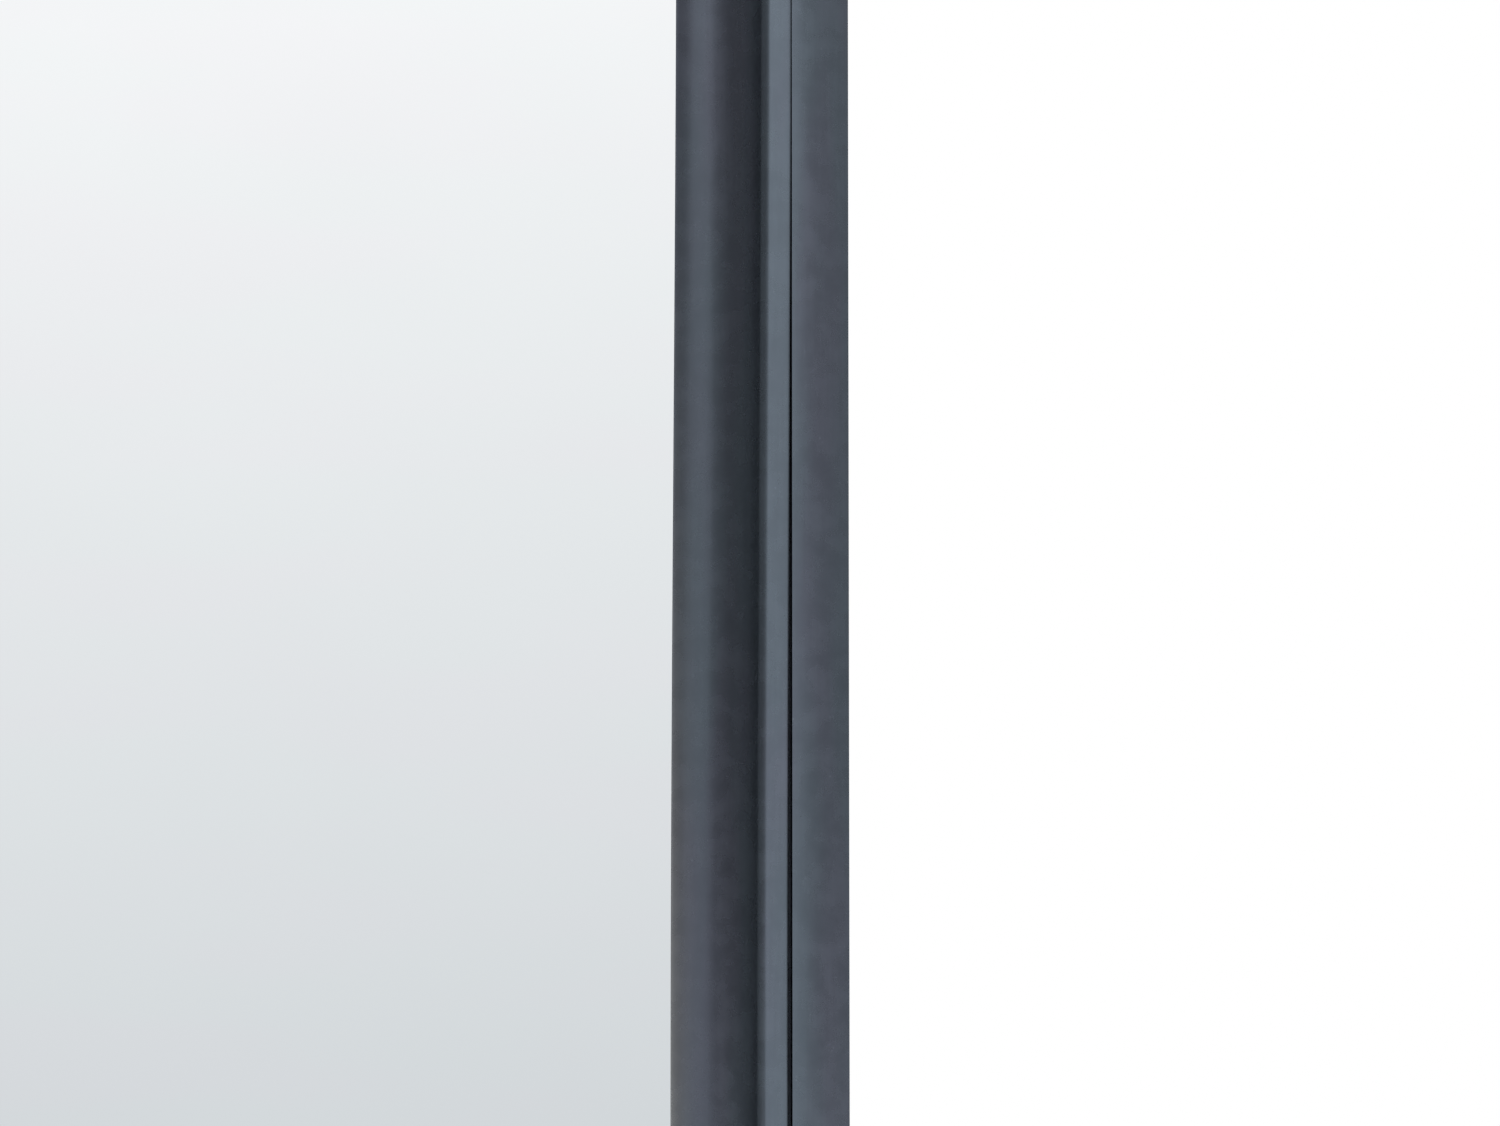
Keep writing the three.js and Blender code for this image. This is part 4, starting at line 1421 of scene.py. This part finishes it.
@dataclass
class Slide:
    """A three-part ball slide that pulls out by its own length.

    Its sections are drawn as (y, z) with the closet's side panel at y = 0.
    """

    sheet: float = 0.0012
    bend: float = 0.0014
    race: float = 0.0029
    race_angle: float = 30.0
    ball: float = 0.002
    cage_sheet: float = 0.0006
    cage_bend: float = 0.0008
    cage_window: float = 0.005
    cage_clearance: float = 0.00035
    balls_in_row: int = 5
    ball_margin: float = 0.009
    outer_web: float = -0.0006
    outer_cage_web: float = -0.00185
    middle_web: float = -0.0031
    inner_cage_web: float = -0.00435
    inner_web: float = -0.0121
    outer_ball: Point = (-0.0094, 0.01925)
    inner_ball: Point = (-0.006, 0.014551)
    panel_hole: float = 0.0023
    panel_shares: tuple[float, ...] = (-0.84, -0.46, 0.46, 0.84)
    access_hole: float = 0.005
    access_shares: tuple[float, ...] = (-0.64, -0.24, 0.24, 0.64)
    screw_hole: float = 0.0021
    screw_reach: float = 0.1295
    softness: float = 0.00016
    bumper_round: float = 0.0015
    bumper_softness: float = 0.0003

    def build(self) -> None:
        """Model and dress both slides."""
        outer_cage = partial(self.cage, self.outer_cage_web, self.outer_ball)
        inner_cage = partial(self.cage, self.inner_cage_web, self.inner_ball)
        makers = [
            ("outer_member", self.outer_member, ZINC, Body.PANEL_SIDE),
            ("rear_bumper", self.bumper, RUBBER, Body.PANEL_SIDE),
            ("outer_ball_cage", outer_cage, POLISHED, Body.OUTER_CAGES),
            ("middle_member", self.middle_member, ZINC, Body.MIDDLE_MEMBERS),
            ("inner_ball_cage", inner_cage, POLISHED, Body.INNER_CAGES),
            ("inner_member", self.inner_member, ZINC, Body.CARRIAGE),
        ]
        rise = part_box("upper_outer_member")[0].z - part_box("lower_outer_member")[0].z
        for part, make, finish, body in makers:
            lower = make(f"lower_{part}")
            upper = Bench.place(Bench.copy(lower, f"upper_{part}_form"), (0, 0, rise))
            finished(lower, finish, body, f"lower_{part}")
            finished(upper, finish, body, f"upper_{part}")

    @property
    def race_rise(self) -> float:
        """How far a race's end lies above or below its balls' middle."""
        return self.race * math.sin(math.radians(self.race_angle))

    @property
    def race_depth(self) -> float:
        """How far a race's end lies before or behind its balls' middle."""
        return self.race * math.cos(math.radians(self.race_angle))

    def laid(self, node: str, line: Sequence[Stroke], thickness: float) -> bpy.types.Object:
        """Form a member or strip as long as its node and lay it along X in the node's place.

        Args:
            node: The node that it stands for.
            line: The line that it is formed along.
            thickness: Its sheet's thickness.

        Returns:
            The piece.
        """
        low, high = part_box(node)
        piece = formed(f"{node}_form", line, thickness, high.x - low.x)
        return Bench.place(piece, ((low.x + high.x) / 2, 0, 0), (90, 0, 90))

    def member(
        self, node: str, line: Sequence[Stroke], bores: Iterable[Point] = ()
    ) -> bpy.types.Object:
        """Form a member, with access holes in its web and others beside them.

        Args:
            node: The node that it stands for.
            line: The line that it is formed along, from the middle of its web.
            bores: The other holes, as (share of half the length, radius).

        Returns:
            The piece.
        """
        piece = self.laid(node, line, self.sheet)
        low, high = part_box(node)
        half = (high.x - low.x) / 2
        access = [(share, self.access_hole) for share in self.access_shares]
        holes = borers(
            Bore((middle(node).x + share * half, line[0][0], 0), radius, 4 * self.sheet)
            for share, radius in (*bores, *access)
        )
        return Bench.soften(Bench.cut(piece, holes), self.softness)

    def outer_member(self, node: str) -> bpy.types.Object:
        """Model the member that is screwed to the side panel.

        Args:
            node: The node that it stands for.

        Returns:
            The piece.
        """
        y, z = self.outer_ball
        shoulder = z + self.race_rise
        line: list[Stroke] = [
            (self.outer_web, 0),
            (self.outer_web, shoulder - self.bend),
            Arc((self.outer_web - self.bend, shoulder - self.bend), 90, 8),
            (y + self.race_depth, shoulder),
            Arc(self.outer_ball, 180 - 2 * self.race_angle, 14),
        ]
        return self.member(node, line, [(share, self.panel_hole) for share in self.panel_shares])

    def middle_member(self, node: str) -> bpy.types.Object:
        """Model the member between the two rows of balls.

        Args:
            node: The node that it stands for.

        Returns:
            The piece.
        """
        (outer_y, outer_z), (inner_y, inner_z) = self.outer_ball, self.inner_ball
        joint = math.degrees(math.atan2(outer_z - inner_z, outer_y - inner_y))
        line: list[Stroke] = [
            (self.middle_web, 0),
            (self.middle_web, inner_z),
            Arc(self.inner_ball, joint, 14),
            Arc(self.outer_ball, self.race_angle - joint, 12),
        ]
        return self.member(node, line)

    def inner_member(self, node: str) -> bpy.types.Object:
        """Model the member that carries the bracket.

        Args:
            node: The node that it stands for.

        Returns:
            The piece.
        """
        y, z = self.inner_ball
        shoulder = z - self.race_rise
        clear = self.inner_cage_web - self.cage_sheet / 2 - self.cage_clearance - y
        end = 360 - math.degrees(math.acos(clear / (self.race + self.sheet / 2)))
        line: list[Stroke] = [
            (self.inner_web, 0),
            (self.inner_web, shoulder - self.bend),
            Arc((self.inner_web + self.bend, shoulder - self.bend), -90, 8),
            (y - self.race_depth, shoulder),
            Arc(self.inner_ball, end - 180 - self.race_angle, 9),
        ]
        low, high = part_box(node)
        places = [side * self.screw_reach - middle(node).x for side in (-1, 1)]
        return self.member(node, line, [(x / ((high.x - low.x) / 2), self.screw_hole) for x in places])

    def cage(self, web: float, centre: Point, node: str) -> bpy.types.Object:
        """Model a formed strip that holds one row of balls above and one below.

        Args:
            web: The depth of its web.
            centre: The upper balls' middle, as (y, z).
            node: The node that it stands for.

        Returns:
            The piece.
        """
        y, z = centre
        line: list[Stroke] = [
            (web, 0),
            (web, z - self.cage_bend),
            Arc((web - self.cage_bend, z - self.cage_bend), 90, 6),
            (y - self.ball / 2, z),
        ]
        strip = self.laid(node, line, self.cage_sheet)
        low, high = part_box(node)
        first = low.x + self.ball_margin
        pitch = (high.x - low.x - 2 * self.ball_margin) / (self.balls_in_row - 1)
        windows = borers(
            Bore((first + (i + 0.5) * pitch, web, 0), self.cage_window, 4 * self.sheet)
            for i in range(self.balls_in_row - 1)
        )
        Bench.soften(Bench.cut(strip, windows), self.softness / 2, 2)
        Bench.begin(f"{node}_balls")
        for side in (-1, 1):
            for i in range(self.balls_in_row):
                bpy.ops.mesh.primitive_uv_sphere_add(
                    segments=28, ring_count=16, radius=self.ball, location=(first + i * pitch, y, side * z)
                )
        return Bench.join(strip, Bench.smooth(Bench.end()))

    def bumper(self, node: str) -> bpy.types.Object:
        """Model the rubber bumper at the rear of the outer member.

        Args:
            node: The node that it stands for.

        Returns:
            The piece.
        """
        low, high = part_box(node)
        outline = rectangle(low.y, low.z, high.y, high.z)
        piece = prism(f"{node}_form", outline, high.x - low.x, self.bumper_round)
        Bench.place(piece, (low.x, 0, 0), (90, 0, 90))
        return Bench.soften(piece, self.bumper_softness)


# Fasteners


@dataclass(frozen=True)
class Screw:
    """A machine screw with a cross recess, along Z with its top at the origin."""

    length: float
    head_radius: float
    head_height: float
    domed: bool = True
    radius: float = 0.0018
    thread_depth: float = 0.00025
    pitch: float = 0.0006
    plain: float = 0.0005
    rim_share: float = 1 / 6
    dome_share: float = 0.55
    recess_depth: float = 0.001
    recess_reach: float = 0.0014
    recess_width: float = 0.0008
    recess_draft: float = 0.55
    recess_spare_share: float = 0.25

    def model(self, name: str) -> bpy.types.Object:
        """Model the screw.

        Args:
            name: The piece's name.

        Returns:
            The screw.
        """
        low = -self.head_height - self.length
        core = self.radius - self.thread_depth
        profile: list[Stroke] = [(0, low), (core, low), (core, low + self.pitch / 2)]
        turns = int((self.length - self.plain) / self.pitch) - 1
        for i in range(turns):
            level = low + (i + 1) * self.pitch
            profile += [(self.radius, level), (core, level + self.pitch / 2)]
        profile += [(self.radius, -self.head_height - self.plain), (self.radius, -self.head_height)]
        piece = turned(name, profile + self.head(), 36)
        return Bench.smooth(Bench.cut(piece, self.recess()))

    def head(self) -> list[Stroke]:
        """Draw the head's profile, from under its rim to its top.

        Returns:
            The strokes.
        """
        reach, height = self.head_radius, self.head_height
        if self.domed:
            rise = self.dome_share * height
            dome = (reach**2 + rise**2) / (2 * rise)
            angle = math.degrees(math.asin(reach / dome))
            return [(reach, -height), (reach, -rise), Arc((0, -dome), angle, 10)]
        edge = self.rim_share * height
        return [(reach - edge, -height), (reach, -height + edge), (reach, -edge), (reach - edge, 0), (0, 0)]

    def recess(self) -> bpy.types.Object:
        """Model the cutter of the cross recess.

        Returns:
            The cutter.
        """
        wide, reach = self.recess_width / 2, self.recess_reach
        quarter = [(reach, -wide), (reach, wide), (wide, wide)]
        corners = quarter[:]
        for _ in range(3):
            quarter = [(-y, x) for x, y in quarter]
            corners += quarter
        Bench.begin("recess")
        Bench.draw(corners)
        bpy.ops.mesh.edge_face_add()
        spare = self.recess_spare_share * self.recess_depth
        bpy.ops.transform.translate(value=(0, 0, spare))
        Bench.run([(0, 0, -self.recess_depth - spare)])
        bpy.ops.transform.resize(
            value=(self.recess_draft, self.recess_draft, 1), center_override=(0, 0, -self.recess_depth)
        )
        return Bench.end()


PAN = Screw(0.005, 0.0036, 0.0015)
LONG_PAN = Screw(0.012, 0.0036, 0.0015)
FLUSH = Screw(0.0107, 0.0036, 0.0013, domed=False)
STRIKE = Screw(0.0034, 0.003, 0.0006, domed=False, recess_reach=0.0011, recess_depth=0.0008)


def fasten() -> None:
    """Model every screw in its place."""
    places = [
        (name, PAN, facing, Body.CARRIAGE)
        for slide in SLIDES
        for use, facing in (("slide", Facing.FRONT), ("tie", Facing.FRONT), ("post", Facing.REAR))
        for name in screw_pairs(f"{slide}_{use}")
    ]
    for end in End:
        places.append((f"{end.label}_bracket_screw", LONG_PAN, end.value, Body.CARRIAGE))
        places += [(name, FLUSH, end.value, Body.LEAF) for name in screw_pairs(f"{end.label}_plate")]
    places += [(f"{slide}_strike_screw", STRIKE, Facing.REAR, Body.LEAF) for slide in SLIDES]
    for kind in (PAN, LONG_PAN, FLUSH, STRIKE):
        pattern = kind.model("screw_pattern")
        for node, facing, body in ((n, f, b) for n, k, f, b in places if k is kind):
            piece = Bench.copy(pattern, f"{node}_form")
            finished(stand(piece, node, facing), SCREW_STEEL, body, node)
        bpy.data.meshes.remove(pattern.data)


# Carriage


@dataclass
class Carriage:
    """What slides out: the brackets, the tie rail, the post's ends and the catch magnets."""

    arm_height: float = 0.036
    head_length: float = 0.03
    head_height: float = 0.078
    tab_inset: float = 0.048
    tab_length: float = 0.044
    tab_reach: float = 0.062
    corner: float = 0.004
    screw_hole: float = 0.0021
    bore_length: float = 0.012
    softness: float = 0.00025
    rail_sheet: float = 0.0015
    rail_bend: float = 0.0018
    cup_share: float = 0.14
    cup_edge_share: float = 0.12
    disc_inset_share: float = 0.21
    disc_step_share: float = 0.06
    ear_radius: float = 0.0065
    ear_level: float = 0.004
    ear_relief: float = 0.0006
    ear_shoulder: float = 0.009
    pin_hole: float = 0.0028
    pin_head: float = 0.0014
    pin_edge: float = 0.0003
    foot_gap: float = 0.0001
    port_wall: float = 0.0018
    port_web: float = 0.0064
    spigot_play: float = 0.0003
    spigot_depth: float = 0.008
    head_hole: float = 0.0039
    head_depth: float = 0.0015

    def build(self) -> None:
        """Model and dress the carriage."""
        for slide, side in zip(SLIDES, (1, -1)):
            self.bracket(slide, side)
            self.magnet(slide)
        self.tie_rail()
        for end in End:
            self.pivot_bracket(end)
            self.pin(end)

    def screwed(self, piece: bpy.types.Object, node: str, screws: Iterable[str]) -> None:
        """Bore a piece for screws that run along Y, soften it and dress it.

        Args:
            piece: The piece.
            node: The node that it stands for.
            screws: The screws' nodes.
        """
        holes = borers(Bore(tuple(middle(name)), self.screw_hole, self.bore_length) for name in screws)
        Bench.soften(Bench.cut(piece, holes), self.softness)
        finished(piece, POWDER, Body.CARRIAGE, node)

    def bracket(self, slide: str, side: int) -> None:
        """Model the bracket on a slide.

        Args:
            slide: The slide's name.
            side: 1 where its tie tab points up and -1 where it points down.
        """
        node = f"{slide}_slide_bracket"
        low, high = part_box(node)
        level = middle(f"{slide}_outer_member").z
        half, head, reach = self.arm_height / 2, self.head_height / 2, self.tab_reach
        neck, tab = high.x - self.head_length, low.x + self.tab_inset
        corners = [
            (low.x, -half), (neck, -half), (neck, -head), (high.x, -head), (high.x, head),
            (neck, head), (neck, half), (tab + self.tab_length, half),
            (tab + self.tab_length, reach), (tab, reach), (tab, half), (low.x, half),
        ]
        piece = plate(node, [(x, level + side * z) for x, z in corners], self.corner)
        self.screwed(piece, node, screw_pairs(*(f"{slide}_{use}" for use in ("slide", "tie", "post"))))

    def magnet(self, slide: str) -> None:
        """Model a catch magnet: a disc in a steel cup.

        Args:
            slide: The slide that it is set beside.
        """
        node = f"{slide}_catch_magnet"
        low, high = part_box(node)
        reach, depth = (high.x - low.x) / 2, high.y - low.y
        cup, disc = reach - self.cup_share * reach, reach - self.disc_inset_share * reach
        edge, step = self.cup_edge_share * depth, self.disc_step_share * depth
        profile: list[Stroke] = [
            (0, -depth), (reach - edge, -depth), (reach, -depth + edge), (reach, -edge),
            (reach - edge, 0), (cup, 0), (cup, -2 * step), (disc, -2 * step), (disc, -step),
            (0, -step),
        ]
        finished(lathed(node, profile, 64, Facing.FRONT), POWDER, Body.CARRIAGE, node)

    def tie_rail(self) -> None:
        """Model the channel that joins the two brackets."""
        low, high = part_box("tie_rail")
        web = low.y + self.rail_sheet / 2
        half = (high.x - low.x) / 2 - self.rail_sheet / 2
        line: list[Stroke] = [
            (web, 0),
            (web, half - self.rail_bend),
            Arc((web + self.rail_bend, half - self.rail_bend), -90, 10),
            (high.y, half),
        ]
        rail = formed("tie_rail_form", line, self.rail_sheet, high.z - low.z)
        where = middle("tie_rail")
        Bench.place(rail, (where.x, 0, where.z), (0, 0, 90))
        self.screwed(rail, "tie_rail", screw_pairs(*(f"{slide}_tie" for slide in SLIDES)))

    def pivot_bracket(self, end: End) -> None:
        """Model the bracket at one end of the post, whose ear holds the pivot pin.

        Args:
            end: Which end it is.
        """
        node = f"{end.label}_pivot_bracket"
        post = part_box("carrier_post")[1]
        screw, axis = middle(f"{end.label}_bracket_screw"), middle(f"{end.label}_pivot_pin")
        right, back, left = post.x, post.y, 2 * screw.x - post.x
        corner, face, right_front = crowned(left, right)
        base = end.outer("carrier_post")
        top = end.outer(node)
        tall = abs(top - base)
        outline = [(left, back), corner, face, (right, back)]
        foot = self.slab(node, outline, base + end.side * self.foot_gap, top)
        root = right_front + self.ear_shoulder
        ear_line: list[Stroke] = [
            (left - self.ear_shoulder / 2, root), (axis.x - self.ear_radius, axis.y),
            Arc((axis.x, axis.y), 180, 30), (right, root),
        ]
        ear_from = base + end.side * self.ear_level
        ear = self.slab("ear", ear_line, ear_from, top)
        port = (right_front + back) / 2 + self.port_web / 2
        inset = self.port_wall + self.spigot_play
        outline = rectangle(left + inset, port + self.spigot_play, right - inset, back - inset)
        spigot = self.slab("spigot", outline, base - end.side * self.spigot_depth, (base + top) / 2)
        Bench.merge(foot, ear, spigot)
        relief = (axis.x, axis.y, ear_from - end.side * tall / 2)
        pin, screw_top = (axis.x, axis.y, top), (screw.x, screw.y, top)
        Bench.cut(
            foot,
            borers([Bore(relief, self.ear_radius + self.ear_relief, tall, Axis.Z, 72)]),
            borers([
                Bore(pin, self.pin_hole, 2 * tall, Axis.Z),
                Bore(screw_top, self.screw_hole, 3 * tall, Axis.Z),
            ]),
            borers([Bore(screw_top, self.head_hole, 2 * self.head_depth, Axis.Z)]),
        )
        finished(Bench.soften(foot, self.softness), POWDER, Body.CARRIAGE, node)

    @staticmethod
    def slab(name: str, outline: Sequence[Stroke], level: float, other: float) -> bpy.types.Object:
        """Extrude a plan outline between two levels.

        Args:
            name: The piece's name.
            outline: The outline.
            level: One level.
            other: The other.

        Returns:
            The piece.
        """
        piece = prism(f"{name}_form", outline, abs(other - level))
        return Bench.place(piece, (0, 0, min(level, other)))

    def pin(self, end: End) -> None:
        """Model a headed pivot pin.

        Args:
            end: Which end of the leaf it is at.
        """
        node = f"{end.label}_pivot_pin"
        low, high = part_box(node)
        reach, length = (high.x - low.x) / 2, high.z - low.z
        radius, height, edge = self.pin_hole - self.spigot_play, self.pin_head, self.pin_edge
        profile: list[Stroke] = [
            (0, -length), (radius - 2 * edge, -length), Arc((radius - 2 * edge, -length + 2 * edge), 90, 6),
            (radius, -height), (reach - edge / 2, -height), (reach, -height + edge / 2),
            (reach, -2 * edge), Arc((reach - 2 * edge, -2 * edge), 90, 6), (0, 0),
        ]
        finished(lathed(node, profile, 56, end.value), POLISHED, Body.CARRIAGE, node)


# What the leaf carries


@dataclass
class Fittings:
    """The pane, its board and seal, the corner cleats, the pivot plates and the strike plates."""

    pane_corner: float = 0.001
    pane_edge: float = 0.0004
    seal_width: float = 0.0044
    seal_bead: float = 0.00035
    seal_spare: float = 0.001
    cleat_play: float = 0.0003
    cleat_corner: float = 0.0012
    cleat_softness: float = 0.0005
    cleat_bore: float = 0.05
    screw_hole: float = 0.0021
    plate_width: float = 0.014
    plate_length: float = 0.074
    plate_corner: float = 0.003
    lug_root: float = 0.02
    ear_radius: float = 0.0065
    bush_hole: float = 0.0043
    bush_radius: float = 0.004
    bush_bore: float = 0.0028
    bush_edge: float = 0.0002
    bush_rim: float = 0.0005
    head_hole: float = 0.0039
    head_depth: float = 0.0014
    strike_head: float = 0.0033
    strike_edge_share: float = 0.25
    strike_sink_share: float = 0.7
    softness: float = 0.00025

    def build(self) -> None:
        """Model and dress the leaf's fittings."""
        self.pane("mirror_glass", MIRROR, self.pane_edge)
        self.pane("backing_board", BOARD, self.softness)
        self.seal()
        for end in End:
            for hand, across in (("left", -1), ("right", 1)):
                self.cleat(f"{end.label}_{hand}_corner_cleat", end, across)
            self.pivot_plate(end)
            self.bushing(end)
        for slide in SLIDES:
            self.strike(slide)

    def pane(self, node: str, finish: Finish, edge: float) -> None:
        """Model a flat pane with eased edges.

        Args:
            node: The node that it stands for.
            finish: Its finish.
            edge: The width of its eased edges.
        """
        low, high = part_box(node)
        piece = plate(node, rectangle(low.x, low.z, high.x, high.z), self.pane_corner)
        finished(Bench.soften(piece, edge), finish, Body.LEAF, node)

    def seal(self) -> None:
        """Model the rubber strip that holds the board in its groove."""
        node, width = "glazing_seal", self.seal_width
        low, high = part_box(node)
        outer = plate(node, rectangle(low.x, low.z, high.x, high.z))
        inner = rectangle(low.x + width, low.z + width, high.x - width, high.z - width)
        hollow = plate(node, inner, name="hollow", spare=self.seal_spare)
        finished(Bench.soften(Bench.cut(outer, hollow), self.seal_bead, 4), RUBBER, Body.LEAF, node)

    def cleat(self, node: str, end: End, across: int) -> None:
        """Model a cast corner cleat.

        Args:
            node: The node that it stands for.
            end: Which end of the leaf it is at.
            across: 1 at the right and -1 at the left.
        """
        low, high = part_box(node)
        section = FrameSection()
        wide = section.face_width - section.groove_depth - 2 * (section.wall + self.cleat_play)
        corner_x, corner_z = (high.x if across > 0 else low.x), end.outer(node)
        arm_x, arm_z = high.x - low.x, high.z - low.z
        corners = [(0, 0), (arm_x, 0), (arm_x, wide), (wide, wide), (wide, arm_z), (0, arm_z)]
        corners = [(corner_x - across * x, corner_z - end.side * z) for x, z in corners]
        piece = plate(node, corners, self.cleat_corner)
        holes = [
            Bore(tuple(where), self.screw_hole, self.cleat_bore, Axis.Z)
            for where in map(middle, screw_pairs(f"{end.label}_plate"))
            if low.x < where.x < high.x
        ]
        if holes:
            Bench.cut(piece, borers(holes))
        finished(Bench.soften(piece, self.cleat_softness), CAST, Body.LEAF, node)

    def pivot_plate(self, end: End) -> None:
        """Model the plate on the leaf's end whose ear turns on the pin.

        Args:
            end: Which end of the leaf it is at.
        """
        node = f"{end.label}_pivot_plate"
        low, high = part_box(node)
        axis = middle(f"{end.label}_pivot_pin")
        screws = [middle(name) for name in screw_pairs(f"{end.label}_plate")]
        near, far = (screws[0].y + sign * self.plate_width / 2 for sign in (-1, 1))
        left, right, depth = low.x, low.x + self.plate_length, high.z - low.z
        corners = [(right, near), (right, far), (left, far), (left, near)]
        piece = prism(f"{node}_form", corners, depth, self.plate_corner)
        Bench.place(piece, (0, 0, low.z))
        root = near + self.plate_corner
        line: list[Stroke] = [
            (right - self.lug_root, root), (axis.x - self.ear_radius, axis.y),
            Arc((axis.x, axis.y), 180, 30), (right - self.plate_corner / 2, root),
        ]
        Bench.merge(piece, Bench.place(prism("lug", line, depth), (0, 0, low.z)))
        outer = end.outer(node)
        places = [(at.x, at.y, outer) for at in screws]
        Bench.cut(
            piece,
            borers([
                Bore((axis.x, axis.y, outer), self.bush_hole, 3 * depth, Axis.Z, 56),
                *(Bore(at, self.screw_hole, 3 * depth, Axis.Z) for at in places),
            ]),
            borers(Bore(at, self.head_hole, 2 * self.head_depth, Axis.Z) for at in places),
        )
        finished(Bench.soften(piece, self.softness), POWDER, Body.LEAF, node)

    def bushing(self, end: End) -> None:
        """Model the flanged bushing that the pin turns in.

        Args:
            end: Which end of the leaf it is at.
        """
        node = f"{end.label}_pivot_bushing"
        low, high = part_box(node)
        flange, length = (high.x - low.x) / 2, high.z - low.z
        bore, radius, edge, rim = self.bush_bore, self.bush_radius, self.bush_edge, self.bush_rim
        profile: list[Stroke] = [
            (bore + edge, -length), (radius - edge, -length), (radius, -length + edge),
            (radius, -rim), (flange, -rim), (flange, -edge), (flange - edge, 0), (bore + edge, 0),
            (bore, -edge), (bore, -length + edge),
        ]
        finished(lathed(node, profile, 56, end.value), NYLON, Body.LEAF, node)

    def strike(self, slide: str) -> None:
        """Model the steel disc that the magnet holds, with a sunk hole for its screw.

        Args:
            slide: The slide that it is level with.
        """
        node = f"{slide}_strike_plate"
        low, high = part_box(node)
        reach, depth = (high.x - low.x) / 2, high.y - low.y
        edge, sink = self.strike_edge_share * depth, self.strike_sink_share * depth
        profile: list[Stroke] = [
            (self.screw_hole, -depth), (reach - edge / 2, -depth), (reach, -depth + edge / 2),
            (reach, -edge), Arc((reach - edge, -edge), 90, 5), (self.strike_head, 0),
            (self.strike_head, -sink), (self.screw_hole, -sink),
        ]
        finished(lathed(node, profile, 72, Facing.REAR), ZINC, Body.LEAF, node)


def dress_nodes() -> None:
    """Give every node of the frame the finish of its slot."""
    finishes = {
        finish.slot: finish
        for finish in (SLATE, MIRROR, BOARD, RUBBER, ZINC, SCREW_STEEL, POLISHED, POWDER, CAST, NYLON)
    }
    slots = {part["node"]: part["material_slot"] for part in frame["record"]["subparts"]}
    for name, node in frame["nodes"].items():
        node.data.materials.clear()
        node.data.materials.append(finishes[slots[name]].material())


def main() -> None:
    """Build the studio and dress the mirror."""
    logging.basicConfig(level=logging.INFO, format="%(message)s")
    Studio().build()
    Leaf().build()
    Post().build()
    Slide().build()
    Carriage().build()
    fasten()
    Fittings().build()
    dress_nodes()


if __name__ == "__main__":
    main()
